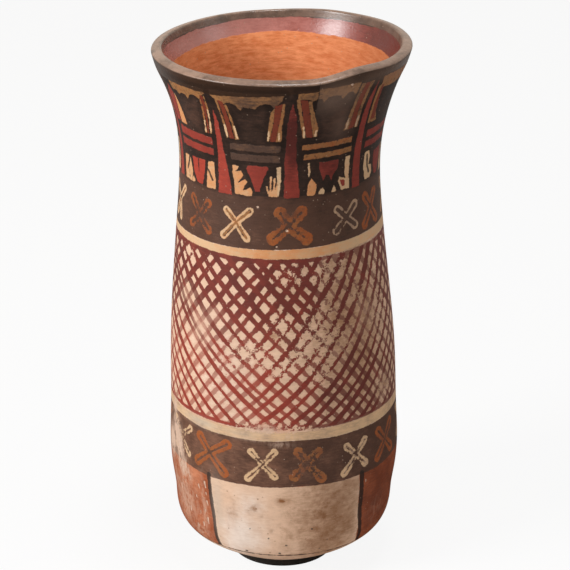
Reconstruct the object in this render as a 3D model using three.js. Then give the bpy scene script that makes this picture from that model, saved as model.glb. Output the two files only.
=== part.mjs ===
import * as THREE from 'three';

// A tall painted beaker with a flared mouth and a rounded base, standing in a low dished ring.
// Lengths are millimetres and +Z is up. The origin is on the table, under the middle of the ring.
// The clay wall is built in courses, and each course laps over the one below it on a slanting joint.

// Sides of every round piece. A multiple of four puts corners on the X and Y axes.
const SEGMENTS = 48;

// Outside of the clay wall, from the middle of the underside to the lip, as radius and height.
const OUTER_WALL = [
  [0, 1.4],
  [11, 1.6],
  [20.3, 3.1],
  [30.3, 7.9],
  [37.3, 12.2],
  [42.9, 17],
  [45.6, 23],
  [46.4, 31],
  [47.7, 40.5],
  [48.5, 52],
  [48, 67],
  [47.4, 90],
  [46.1, 113],
  [44.1, 135.5],
  [42.1, 158],
  [41.1, 178],
  [42.4, 194],
  [45.3, 206],
  [48.8, 215],
  [51.05, 220],
  [52.4, 224.4],
];

// Thickness of the clay, and the heights between which it changes.
const BASE_THICKNESS = 5.6;
const SIDE_THICKNESS = 4.2;
const LIP_THICKNESS = 4.4;
const BASE_THINS_FROM = 4;
const BASE_THINS_TO = 30;
const LIP_THICKENS_FROM = 195;
const LIP_THICKENS_TO = 223;

// The top of the lip is a low crown with rounded corners.
const CROWN_HEIGHT = 1.3;
const CROWN_SQUARENESS = 3;
const CROWN_STEPS = 8;

// Heights on the outside where one course meets the next, and how far each joint rises inwards.
const BASE_TOP = 16;
const PANEL_TOP = 51.6;
const LOWER_CROSS_TOP = 74.5;
const LOWER_NET_TOP = 113;
const UPPER_NET_TOP = 151.8;
const UPPER_CROSS_TOP = 175.5;
const NECK_TOP = 199;
const COLLAR_TOP = 220.5;
const JOINT_RISE = 3;

// The rim was drawn up by hand: its rise in mm at each angle in degrees, with the front at -90.
const RIM_WAVE = [
  [-180, -0.5],
  [-135, 0],
  [-95, 0.25],
  [-77, 0.2],
  [-52, 2.5],
  [-30, 1.5],
  [25, 1.3],
  [60, 0.6],
  [100, -0.5],
  [145, -0.8],
  [180, -0.5],
];
const RIM_WAVE_FROM = 196;
const RIM_WAVE_TO = 224;

// The middle of the wall wanders sideways along X by this much, once in this height.
const BOW = 0.7;
const BOW_LENGTH = 215;

// The ring under the base. Its top is dished to fit the clay, with a small clearance.
const RING_OUTER_RADIUS = 21.7;
const RING_INNER_RADIUS = 11;
const RING_EDGE = 0.4;
const RING_CLEARANCE = 0.3;
const RING_SEAT_STEPS = 4;

// Each course from the bottom up: its name, its top, its steps in height, and its fired colour.
const COURSES = [
  { name: 'base_bowl', top: BASE_TOP, steps: 6, colour: 0xb98f70, roughness: 0.55 },
  { name: 'panel_wall', top: PANEL_TOP, steps: 6, colour: 0xc9aa8c, roughness: 0.45 },
  { name: 'lower_cross_wall', top: LOWER_CROSS_TOP, steps: 3, colour: 0x46352c, roughness: 0.42 },
  { name: 'lower_net_wall', top: LOWER_NET_TOP, steps: 3, colour: 0xb98a72, roughness: 0.4 },
  { name: 'upper_net_wall', top: UPPER_NET_TOP, steps: 3, colour: 0x9c6656, roughness: 0.4 },
  { name: 'upper_cross_wall', top: UPPER_CROSS_TOP, steps: 3, colour: 0x46352c, roughness: 0.42 },
  { name: 'neck_wall', top: NECK_TOP, steps: 4, colour: 0x7a3a2a, roughness: 0.4 },
  { name: 'flared_collar', top: COLLAR_TOP, steps: 4, colour: 0x8c5a3c, roughness: 0.4 },
  { name: 'rim_lip', top: null, steps: 2, colour: 0x3b2d27, roughness: 0.34 },
];
const RING = { name: 'support_ring', colour: 0x1a1614, roughness: 0.7 };

// Eases from 0 at one value to 1 at another.
function ease(value, from, to) {
  return THREE.MathUtils.smoothstep(value, from, to);
}

// Natural cubic spline of values over knots, with the value and the slope at any place.
function cubicSpline(knots, values) {
  const last = knots.length - 1;
  const bend = new Array(last + 1).fill(0);
  const carry = new Array(last + 1).fill(0);
  for (let i = 1; i < last; i++) {
    const before = knots[i] - knots[i - 1];
    const after = knots[i + 1] - knots[i];
    const turn = (values[i + 1] - values[i]) / after - (values[i] - values[i - 1]) / before;
    const pivot = 2 * (before + after) - before * carry[i - 1];
    carry[i] = after / pivot;
    bend[i] = (6 * turn - before * bend[i - 1]) / pivot;
  }
  for (let i = last - 1; i > 0; i--) {
    bend[i] -= carry[i] * bend[i + 1];
  }
  return (place) => {
    let i = 0;
    while (i < last - 1 && place > knots[i + 1]) {
      i++;
    }
    const step = knots[i + 1] - knots[i];
    const a = (knots[i + 1] - place) / step;
    const b = (place - knots[i]) / step;
    const value = a * values[i] + b * values[i + 1]
      + ((a ** 3 - a) * bend[i] + (b ** 3 - b) * bend[i + 1]) * step * step / 6;
    const slope = (values[i + 1] - values[i]) / step
      + ((3 * b * b - 1) * bend[i + 1] - (3 * a * a - 1) * bend[i]) * step / 6;
    return { value, slope };
  };
}

// The outside of the wall, measured along its own length.
const outline = OUTER_WALL.map(([radius, height]) => new THREE.Vector2(radius, height));
const lengths = [0];
for (let i = 1; i < outline.length; i++) {
  lengths.push(lengths[i - 1] + outline[i].distanceTo(outline[i - 1]));
}
const wallLength = lengths[lengths.length - 1];
const radiusAt = cubicSpline(lengths, outline.map((point) => point.x));
const heightAt = cubicSpline(lengths, outline.map((point) => point.y));

function outerPoint(place) {
  return new THREE.Vector2(radiusAt(place).value, heightAt(place).value);
}

// Points straight out of the clay.
function outerNormal(place) {
  return new THREE.Vector2(heightAt(place).slope, -radiusAt(place).slope).normalize();
}

function thickness(height) {
  const side = THREE.MathUtils.lerp(
    SIDE_THICKNESS,
    LIP_THICKNESS,
    ease(height, LIP_THICKENS_FROM, LIP_THICKENS_TO),
  );
  return THREE.MathUtils.lerp(BASE_THICKNESS, side, ease(height, BASE_THINS_FROM, BASE_THINS_TO));
}

function innerPoint(place) {
  const point = outerPoint(place);
  return point.addScaledVector(outerNormal(place), -thickness(point.y));
}

// The place along the wall where one of its two sides reaches a height, by halving.
function placeAtHeight(side, height) {
  let low = 0;
  let high = wallLength;
  for (let i = 0; i < 50; i++) {
    const middle = (low + high) / 2;
    if (side(middle).y < height) {
      low = middle;
    } else {
      high = middle;
    }
  }
  return (low + high) / 2;
}

// Points along one side of the wall, both ends included.
function sidePoints(side, from, to, steps) {
  const points = [];
  for (let i = 0; i <= steps; i++) {
    points.push(side(THREE.MathUtils.lerp(from, to, i / steps)));
  }
  return points;
}

// The crown of the lip, a superellipse from the outside of the wall over to the inside.
function crownPoints() {
  const outside = outerPoint(wallLength);
  const inside = innerPoint(wallLength);
  const middle = outside.clone().add(inside).multiplyScalar(0.5);
  const half = outside.clone().sub(middle);
  const rise = new THREE.Vector2(-half.y, half.x).setLength(CROWN_HEIGHT);
  const points = [];
  for (let i = 1; i < CROWN_STEPS; i++) {
    const angle = Math.PI * i / CROWN_STEPS;
    const across = Math.sign(Math.cos(angle)) * Math.abs(Math.cos(angle)) ** (2 / CROWN_SQUARENESS);
    const up = Math.sin(angle) ** (2 / CROWN_SQUARENESS);
    points.push(middle.clone().addScaledVector(half, across).addScaledVector(rise, up));
  }
  return points;
}

// How far the hand-made rim rises at an angle in degrees.
function rimRise(degrees) {
  let i = 0;
  while (i < RIM_WAVE.length - 2 && degrees > RIM_WAVE[i + 1][0]) {
    i++;
  }
  const [fromAngle, fromRise] = RIM_WAVE[i];
  const [toAngle, toRise] = RIM_WAVE[i + 1];
  return THREE.MathUtils.lerp(fromRise, toRise, ease(degrees, fromAngle, toAngle));
}

// Moves one point of a true round wall to where the potter left it.
function shapeByHand(point) {
  const degrees = THREE.MathUtils.radToDeg(Math.atan2(point.y, point.x));
  const rise = rimRise(degrees) * ease(point.z, RIM_WAVE_FROM, RIM_WAVE_TO);
  point.x += BOW * Math.sin(2 * Math.PI * point.z / BOW_LENGTH);
  point.z += rise;
  return point;
}

// Turns a profile of radius and height round the Z axis.
function turned(profile) {
  const geometry = new THREE.LatheGeometry(profile, SEGMENTS);
  geometry.rotateX(Math.PI / 2);
  return geometry;
}

// Splits the four-cornered faces of a profile's last strip along their other diagonal, so that
// two courses that meet on an uneven joint share the same triangles there.
function crossLastStrip(geometry, profile) {
  const index = geometry.getIndex();
  const strips = profile.length - 1;
  for (let i = 0; i < SEGMENTS; i++) {
    const a = i * profile.length + strips - 1;
    const b = a + profile.length;
    const first = 6 * (i * strips + strips - 1);
    [a, b, b + 1, a, b + 1, a + 1].forEach((corner, k) => index.setX(first + k, corner));
  }
}

// Gives a turned wall its hand-made unevenness, and drops the normals that this makes untrue.
function handShaped(geometry) {
  const position = geometry.getAttribute('position');
  const point = new THREE.Vector3();
  for (let i = 0; i < position.count; i++) {
    shapeByHand(point.fromBufferAttribute(position, i));
    position.setXYZ(i, point.x, point.y, point.z);
  }
  geometry.computeVertexNormals();
  return geometry;
}

function namedMesh(piece, geometry) {
  const material = new THREE.MeshStandardMaterial({
    color: piece.colour,
    roughness: piece.roughness,
    metalness: 0,
  });
  const mesh = new THREE.Mesh(geometry, material);
  mesh.name = piece.name;
  return mesh;
}

// One course of clay: up its outside, over its top joint or the crown, and down its inside.
// The base starts and ends on the axis, and every other course closes on itself.
function coursePoints(course, below) {
  const isBase = below === null;
  const isLip = course.top === null;
  const outerFrom = isBase ? 0 : placeAtHeight(outerPoint, below);
  const innerFrom = isBase ? 0 : placeAtHeight(innerPoint, below + JOINT_RISE);
  const outerTo = isLip ? wallLength : placeAtHeight(outerPoint, course.top);
  const innerTo = isLip ? wallLength : placeAtHeight(innerPoint, course.top + JOINT_RISE);
  const points = [
    ...sidePoints(outerPoint, outerFrom, outerTo, course.steps),
    ...(isLip ? crownPoints() : []),
    ...sidePoints(innerPoint, innerTo, innerFrom, course.steps),
  ];
  if (isBase) {
    points[points.length - 1].x = 0;
  } else {
    points.push(points[0].clone());
  }
  return points;
}

// The ring: flat below, upright outside and inside, with its top following the underside.
function ringPoints() {
  const seat = [];
  for (let i = 0; i <= RING_SEAT_STEPS; i++) {
    const radius = THREE.MathUtils.lerp(
      RING_OUTER_RADIUS - RING_EDGE,
      RING_INNER_RADIUS + RING_EDGE,
      i / RING_SEAT_STEPS,
    );
    seat.push(new THREE.Vector2(radius, undersideHeight(radius) - RING_CLEARANCE));
  }
  const points = [
    new THREE.Vector2(RING_INNER_RADIUS, 0),
    new THREE.Vector2(RING_OUTER_RADIUS - RING_EDGE, 0),
    new THREE.Vector2(RING_OUTER_RADIUS, RING_EDGE),
    new THREE.Vector2(RING_OUTER_RADIUS, seat[0].y - RING_EDGE),
    ...seat,
    new THREE.Vector2(RING_INNER_RADIUS, seat[RING_SEAT_STEPS].y - RING_EDGE),
  ];
  points.push(points[0].clone());
  return points;
}

// Height of the underside of the base at a radius, by halving along the wall.
function undersideHeight(radius) {
  let low = 0;
  let high = lengths[4];
  for (let i = 0; i < 50; i++) {
    const middle = (low + high) / 2;
    if (radiusAt(middle).value < radius) {
      low = middle;
    } else {
      high = middle;
    }
  }
  return heightAt(low).value;
}

const beaker = new THREE.Group();
let below = null;
for (const course of COURSES) {
  const profile = coursePoints(course, below);
  const wall = turned(profile);
  if (below !== null) {
    crossLastStrip(wall, profile);
  }
  beaker.add(namedMesh(course, handShaped(wall)));
  below = course.top;
}
beaker.add(namedMesh(RING, turned(ringPoints())));

export default beaker;
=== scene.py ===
"""A tall painted beaker with a flared mouth and a rounded base, standing in a low dished ring.

Lengths are millimetres until a mesh is made. Angles are degrees round the wall, 0 at the front
and growing to the right. Heights are measured up from the table.
"""
import math

import bpy
import numpy as np
from bpy.props import FloatProperty, FloatVectorProperty, IntProperty, PointerProperty
from mathutils import Matrix, Vector


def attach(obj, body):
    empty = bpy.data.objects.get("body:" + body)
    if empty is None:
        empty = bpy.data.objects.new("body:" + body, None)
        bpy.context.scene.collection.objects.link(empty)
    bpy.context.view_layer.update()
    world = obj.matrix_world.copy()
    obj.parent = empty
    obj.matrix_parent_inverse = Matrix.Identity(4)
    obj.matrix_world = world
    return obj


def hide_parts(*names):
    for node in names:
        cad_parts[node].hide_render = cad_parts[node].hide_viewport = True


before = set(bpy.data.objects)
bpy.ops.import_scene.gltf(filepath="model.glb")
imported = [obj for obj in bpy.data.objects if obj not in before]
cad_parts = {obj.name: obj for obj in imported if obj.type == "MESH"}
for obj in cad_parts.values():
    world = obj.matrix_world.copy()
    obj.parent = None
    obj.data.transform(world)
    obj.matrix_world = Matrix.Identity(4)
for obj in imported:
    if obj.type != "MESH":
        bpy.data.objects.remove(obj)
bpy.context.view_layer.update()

bl_info = {
    "name": "Painted beaker",
    "version": (1, 0, 0),
    "blender": (4, 5, 0),
    "location": "3D View > Sidebar > Beaker",
    "description": "Builds a burnished, painted clay beaker and the ring that it stands in",
    "category": "Add Mesh",
}

MM = 0.001
FULL_TURN = 360.0
RING_BODY = "ring_stand"
CLAY_BODY = "vase"

# Outside of the clay wall, from the middle of the underside to the lip, as radius and height.
OUTER_WALL = np.array([
    (0, 1.4), (11, 1.6), (20.3, 3.1), (30.3, 7.9), (37.3, 12.2), (42.9, 17), (45.6, 23),
    (46.4, 31), (47.7, 40.5), (48.5, 52), (48, 67), (47.4, 90), (46.1, 113), (44.1, 135.5),
    (42.1, 158), (41.1, 178), (42.4, 194), (45.3, 206), (48.8, 215), (51.05, 220), (52.4, 224.4),
])
# The clay thins from the base to the side between two heights, and thickens towards the lip.
BASE_THICKNESS, SIDE_THICKNESS, LIP_THICKNESS = 5.6, 4.2, 4.4
BASE_THINS = (4, 30)
LIP_THICKENS = (195, 223)
CROWN_HEIGHT, CROWN_SQUARENESS, CROWN_ROWS = 1.24, 3, 24

# Heights on the outside where one course of clay meets the next. Each joint rises inwards.
BASE_TOP, PANEL_TOP, LOWER_CROSS_TOP, LOWER_NET_TOP = 16, 51.6, 74.5, 113
UPPER_NET_TOP, UPPER_CROSS_TOP, NECK_TOP, COLLAR_TOP = 151.8, 175.5, 199, 220.5
JOINT_RISE, JOINT_ROWS = 3, 4

# How far the rim rises at each angle. It was drawn up by hand, and is highest at the right.
RIM_WAVE = np.array([
    (-170, -0.5), (-125, -0.8), (-90, -0.5), (-45, 0), (-5, 0.25), (13, 0.2), (38, 2.5),
    (60, 1.5), (115, 1.3), (150, 0.6), (190, -0.5),
])
RIM_WAVE_HEIGHTS = (196, 224)
# The wall bows sideways by this much, in one wave over this height.
BOW, BOW_LENGTH = 0.7, 215

# Swells of the wall: how many go round it, the height in which one climbs a radian, where it
# starts, and its part of the whole. They grow from nothing between two radii under the base.
SWELLS = ((3, 23, 0, 1), (5, -15, 1.3, 0.7), (9, 9, 2.1, 0.5))
SWELLS_BEGIN = (4, 30)

# The ring under the base.
RING_OUTER_RADIUS, RING_INNER_RADIUS = 21.7, 11
RING_EDGE, RING_CLEARANCE = 0.4, 0.3
RING_SEAT_ROWS, RING_FOOT_ROWS, RING_SIDE_ROWS, RING_BORE_ROWS, RING_EDGE_ROWS = 24, 12, 8, 5, 7


def rgb(red, green, blue):
    """A colour written as a screen shows it, 0 to 255, as the linear colour that a paint has."""
    shown = np.array((red, green, blue)) / 255
    linear = np.where(shown <= 0.04045, shown / 12.92, ((shown + 0.055) / 1.055) ** 2.4)
    return tuple(float(part) for part in linear)


def ease(value, low, high):
    """0 at low and 1 at high, level at both: three squares less two cubes of the way between."""
    share = np.clip((value - low) / (high - low), 0, 1)
    return share * share * (3 - 2 * share)


def eased(value, amount, low, high):
    """An amount that comes in from nothing between two values."""
    return amount * ease(value, low, high)


def turned_to(angle, start):
    """The same angle, brought to the full turn that begins at start."""
    return (angle - start) % FULL_TURN + start


# What the add-on's user can change.


def length(name, description, millimetres, least=0.0):
    return FloatProperty(
        name=name, description=description, default=millimetres * MM, min=least * MM,
        precision=5, unit="LENGTH",
    )


def share(name, description, default):
    return FloatProperty(
        name=name, description=description, default=default, min=0, max=1, subtype="FACTOR",
    )


def colour(name, description, shown):
    return FloatVectorProperty(
        name=name, description=description, default=rgb(*shown), min=0, max=1, size=3,
        subtype="COLOR",
    )


class WallSettings(bpy.types.PropertyGroup):
    """How finely the clay is turned, and how uneven the hand left it."""

    columns: IntProperty(
        name="Columns", description="Faces round the wall", default=720, min=48, max=800,
    )
    outer_row: length("Outer row", "Height of a face on the painted side", 0.45, 0.1)
    inner_row: length("Inner row", "Height of a face on the bare inside", 1.5, 0.1)
    inset: length("Inset", "How far the fine surface stays inside the plain one", 0.14)
    unevenness: length("Unevenness", "Depth of the swells that the hand left", 0.12)
    chip_depth: length("Chip depth", "How deep the small chips go", 0.35)


class SlipColours(bpy.types.PropertyGroup):
    """The fired colours of the clay and of each slip that is painted on it."""

    clay: colour("Bare clay", "Worn or unpainted clay outside", (224, 190, 166))
    # Inside, painted light makes the wiped clay and its streaks paler on one side and darker on
    # the other.
    inner_clay: colour("Inner clay", "Wiped clay inside", (240, 154, 102))
    dark_clay: colour("Dark inner clay", "Streaks in the clay inside", (204, 106, 50))
    terracotta: colour("Terracotta", "Slip on the sides near the base", (168, 84, 42))
    # The dark and pale terracotta are the ends of its tone: besides random tone they carry painted
    # shade on the right and painted sheen on the left.
    dark_terracotta: colour("Dark terracotta", "The darkest of it", (116, 51, 20))
    pale_terracotta: colour("Pale terracotta", "Terracotta rubbed thin", (210, 132, 92))
    # The tan and white ends of the cream ground carry stains and random tone, and also painted
    # shade on the right and painted sheen on the left of the panels and net.
    ground: colour("Cream ground", "Slip under the net and on the panel", (242, 204, 174))
    tan_ground: colour("Tan ground", "Cream ground gone brown with age", (178, 131, 93))
    white_ground: colour("White ground", "The palest cream ground", (246, 228, 214))
    stain: colour("Stain", "Earth that has stained the cream ground", (150, 96, 52))
    burgundy: colour("Burgundy", "Band inside the mouth", (149, 66, 54))
    # The dark and pale burgundy are the ends of the band's tone, where it carries painted shade on
    # one side and painted sheen on the other.
    dark_burgundy: colour("Dark burgundy", "The darkest burgundy", (94, 31, 22))
    pale_burgundy: colour("Pale burgundy", "Burgundy with a bloom on it", (194, 126, 116))
    # Worn brown is the high end of the brown's tone: besides random tone and tints, it carries the
    # painted light on the left of the brown bands.
    brown: colour("Brown", "Ground of the dark bands", (88, 57, 42))
    deep_brown: colour("Deep brown", "The darkest brown", (50, 33, 24))
    worn_brown: colour("Worn brown", "Brown worn thin", (139, 95, 72))
    rim: colour("Lip", "Black-brown slip on the lip", (64, 41, 26))
    # The pale lip colour stands for worn slip and also for painted sheen on the top of the lip.
    pale_rim: colour("Worn lip", "The top of the lip, where its slip is worn", (152, 122, 104))
    ochre: colour("Ochre", "Yellow-brown paint", (164, 112, 62))
    grey_ochre: colour("Grey ochre", "The grey-brown bars", (90, 64, 51))
    burnt_ochre: colour("Burnt ochre", "The orange crosses", (172, 86, 28))
    cream: colour("Cream", "Pale paint", (230, 190, 146))
    dull_cream: colour("Dull cream", "Pale paint gone grey and pink", (174, 140, 118))
    warm_cream: colour("Warm cream", "Pale paint fired orange", (224, 150, 92))
    sienna: colour("Sienna", "Brown-orange shafts of the feathers", (130, 50, 22))
    red: colour("Red", "Wedges and bars", (150, 52, 37))
    deep_red: colour("Deep red", "The darkest red", (96, 31, 22))
    bright_red: colour("Bright red", "The brightest red", (180, 62, 41))
    net: colour("Net", "Maroon strokes of the net", (111, 44, 34))
    fresh_net: colour("Fresh net", "Strokes of the net that have kept their red", (160, 57, 39))
    wash: colour("Wash", "Red that has bled from the net", (216, 140, 112))
    line: colour("Line", "Black-brown outlines", (48, 34, 27))
    dust: colour("Dust", "Pale dust in pits and scratches", (186, 158, 136))
    ring: colour("Ring", "The ring under the base", (36, 31, 27))


class WearSettings(bpy.types.PropertyGroup):
    """How far age and use have changed the surface."""

    wander: length("Wander", "How far a brushed edge wanders", 0.9)
    flake: length("Flake", "How far flaking eats into a worn stroke", 3.0)
    relief: length("Relief", "Thickness of the paint on the clay", 0.06)
    grain: length("Grain", "Height of the grain in the burnished clay", 0.05)
    polish: share("Polish", "Roughness of the burnished slip", 0.36)
    dull: share("Dull", "Roughness of the bare clay inside", 0.62)


class StageSettings(bpy.types.PropertyGroup):
    """The camera, the lamps and the floor."""

    lens: length("Lens", "Focal length of the camera", 154.8, 10)
    tilt: FloatProperty(
        name="Tilt", description="How far the camera looks down", default=math.radians(22.808),
        subtype="ANGLE",
    )
    roll: FloatProperty(
        name="Roll", description="How far the camera leans", default=math.radians(-0.144),
        subtype="ANGLE",
    )
    place: FloatVectorProperty(
        name="Place", description="Where the camera stands", size=3, subtype="TRANSLATION",
        unit="LENGTH", default=(0.00134, -0.94196, 0.5175),
    )
    key: FloatProperty(
        name="Key", description="Strength of the large lamp at the left", default=15.5,
        min=0, unit="POWER",
    )
    top: FloatProperty(
        name="Top", description="Strength of the lamp over the mouth", default=6.5,
        min=0, unit="POWER",
    )
    right: FloatProperty(
        name="Right", description="Strength of the weak lamp at the right", default=1.1,
        min=0, unit="POWER",
    )
    sky: share("Sky", "Strength of the even light from all sides", 0.16)
    ceiling: share("Ceiling", "How bright the room is in reflections", 0.9)
    whiteness: share("Whiteness", "How much of the floor shows plain white", 0.9)


# The wall of clay.


class Outline:
    """A natural cubic spline through points, measured along the straight lines between them.

    Between two knots, a place lies b of the way on and has a = 1 - b still to go. Its value is a
    times the first point plus b times the second, plus a sixth of the squared gap times the sum
    of (a cubed less a) first bends and (b cubed less b) second bends. The bends are those that
    make the slope run on through every knot.
    """

    def __init__(self, points):
        steps = np.hypot(*np.diff(points, axis=0).T)
        inner = np.arange(1, len(points) - 1)
        rule = np.eye(len(points))
        rule[inner, inner - 1] = steps[:-1]
        rule[inner, inner] = 2 * (steps[:-1] + steps[1:])
        rule[inner, inner + 1] = steps[1:]
        turn = np.zeros(points.shape)
        turn[inner] = 6 * np.diff(np.diff(points, axis=0) / steps[:, None], axis=0)
        self.points = points
        self.knots = np.concatenate([[0], np.cumsum(steps)])
        self.length = self.knots[-1]
        self.bends = np.linalg.solve(rule, turn)

    def span(self, place):
        first = np.searchsorted(self.knots, place, side="right") - 1
        first = np.clip(first, 0, len(self.knots) - 2)
        gap = (self.knots[first + 1] - self.knots[first])[..., None]
        b = (place - self.knots[first])[..., None] / gap
        return first, gap, 1 - b, b

    def point(self, place):
        first, gap, a, b = self.span(place)
        bend = (a**3 - a) * self.bends[first] + (b**3 - b) * self.bends[first + 1]
        return a * self.points[first] + b * self.points[first + 1] + bend * gap**2 / 6

    def slope(self, place):
        first, gap, a, b = self.span(place)
        bend = (3 * b**2 - 1) * self.bends[first + 1] - (3 * a**2 - 1) * self.bends[first]
        return (self.points[first + 1] - self.points[first]) / gap + bend * gap / 6


WALL = Outline(OUTER_WALL)


def thickness(height):
    side = SIDE_THICKNESS + (LIP_THICKNESS - SIDE_THICKNESS) * ease(height, *LIP_THICKENS)
    return BASE_THICKNESS + (side - BASE_THICKNESS) * ease(height, *BASE_THINS)


def outside(place):
    """The radius and height of the outside, some way along it from the middle of the base."""
    return WALL.point(place)


def inside(place):
    """The outside moved into the clay, square to the wall, by its thickness there."""
    point = WALL.point(place)
    across, up = np.moveaxis(WALL.slope(place), -1, 0)
    out = np.stack([up, -across], -1) / np.hypot(across, up)[..., None]
    return point - out * thickness(point[..., 1])[..., None]


# Places along the wall, close enough together for looking up heights.
PLACES = np.linspace(0, WALL.length, 6001)


def place_at(side, height):
    """How far along the wall one of its sides reaches a height."""
    return float(np.interp(height, side(PLACES)[:, 1], PLACES))


def side_rows(side, start, stop, row):
    """Points along one side of the wall, a row apart, with both ends."""
    count = max(2, math.ceil(abs(stop - start) / row))
    return side(np.linspace(start, stop, count + 1))


def crown_rows():
    """The top of the lip without its ends: a superellipse from the outside over to the inside.

    Across the lip it goes as the cosine, and up as the sine, each to the power two over the
    squareness.
    """
    outer, inner = outside(np.array([WALL.length]))[0], inside(np.array([WALL.length]))[0]
    middle = (outer + inner) / 2
    half = outer - middle
    rise = np.array([-half[1], half[0]]) / np.hypot(*half) * CROWN_HEIGHT
    angle = np.linspace(0, np.pi, CROWN_ROWS + 1)[1:-1, None]
    power = 2 / CROWN_SQUARENESS
    across = np.sign(np.cos(angle)) * np.abs(np.cos(angle)) ** power
    return middle + half * across + rise * np.sin(angle) ** power


def joint_rows(start, stop):
    """The straight slanting face of a joint, without its ends."""
    share_on = np.linspace(0, 1, JOINT_ROWS + 1)[1:-1, None]
    return start + (stop - start) * share_on


def rim_rise(angle):
    """How far the rim rises, eased from each angle of the wave to the next."""
    angle = turned_to(angle, RIM_WAVE[0, 0])
    first = np.searchsorted(RIM_WAVE[:, 0], angle, side="right") - 1
    first = np.clip(first, 0, len(RIM_WAVE) - 2)
    way = ease(angle, RIM_WAVE[first, 0], RIM_WAVE[first + 1, 0])
    return RIM_WAVE[first, 1] + (RIM_WAVE[first + 1, 1] - RIM_WAVE[first, 1]) * way


def swell(angle, height):
    """Low swells that the hand left: sines that climb round the wall, between -1 and 1."""
    turn = np.radians(angle)
    waves = sum(
        part * np.sin(count * turn + height / climb + start)
        for count, climb, start, part in SWELLS
    )
    return waves / sum(part for *_, part in SWELLS)


def wavering(angle, waves):
    """Low waves round the wall: each one's height times the sine of its count of turns."""
    return sum(tall * np.sin(np.radians(count * angle + start)) for tall, count, start in waves)


def bell(across, wide):
    """1 in the middle, falling away to each side as a bell curve of a width."""
    return np.exp(-(across / wide) ** 2)


def arc_per_degree(height):
    """Millimetres of wall in one degree, at a height."""
    return np.radians(np.interp(height, OUTER_WALL[:, 1], OUTER_WALL[:, 0]))


# The painting. Every shape is a list of corners, as angle and height on the outside of the wall.
# Every patch of wear, stain or tint is a place, its width and height, its strength, and for some
# a lean. Chips, specks and dabs are a place and a radius.

SLIPS = (
    "terracotta", "ground", "burgundy", "brown", "ochre", "cream", "red", "sienna", "net_fall",
    "net_rise", "rim", "line", "film", "chip",
)
# The slips whose colour varies, each with its low, middle and high colours, and how far the
# clouds of the clay swing it between them.
TONED = {
    "terracotta": ("dark_terracotta", "terracotta", "pale_terracotta", 0.8),
    "ground": ("tan_ground", "ground", "white_ground", 0.7),
    "burgundy": ("dark_burgundy", "burgundy", "pale_burgundy", 0.6),
    "brown": ("deep_brown", "brown", "worn_brown", 1.0),
    "ochre": ("grey_ochre", "ochre", "burnt_ochre", 1.0),
    "cream": ("dull_cream", "cream", "warm_cream", 1.0),
    "red": ("deep_red", "red", "bright_red", 1.0),
}
OUTLINED = ("ochre", "cream", "red", "sienna")
FIELDS = (
    "within", "crown", "wear", "rub", "fade", "haze", "veil", "stain", "outlined", "fresh",
    "fall_strength", "rise_strength", "painted_light", "sheen",
)
# The depth of a slip that is nowhere near, in mm, and a length that is too short to divide by.
FAR = 6.0
LEAST_LENGTH = 1e-9
# How far dabs and specks are drawn out, in degrees.
DAB_LENGTH, SPECK_LENGTH = 0.5, 0.3


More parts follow.
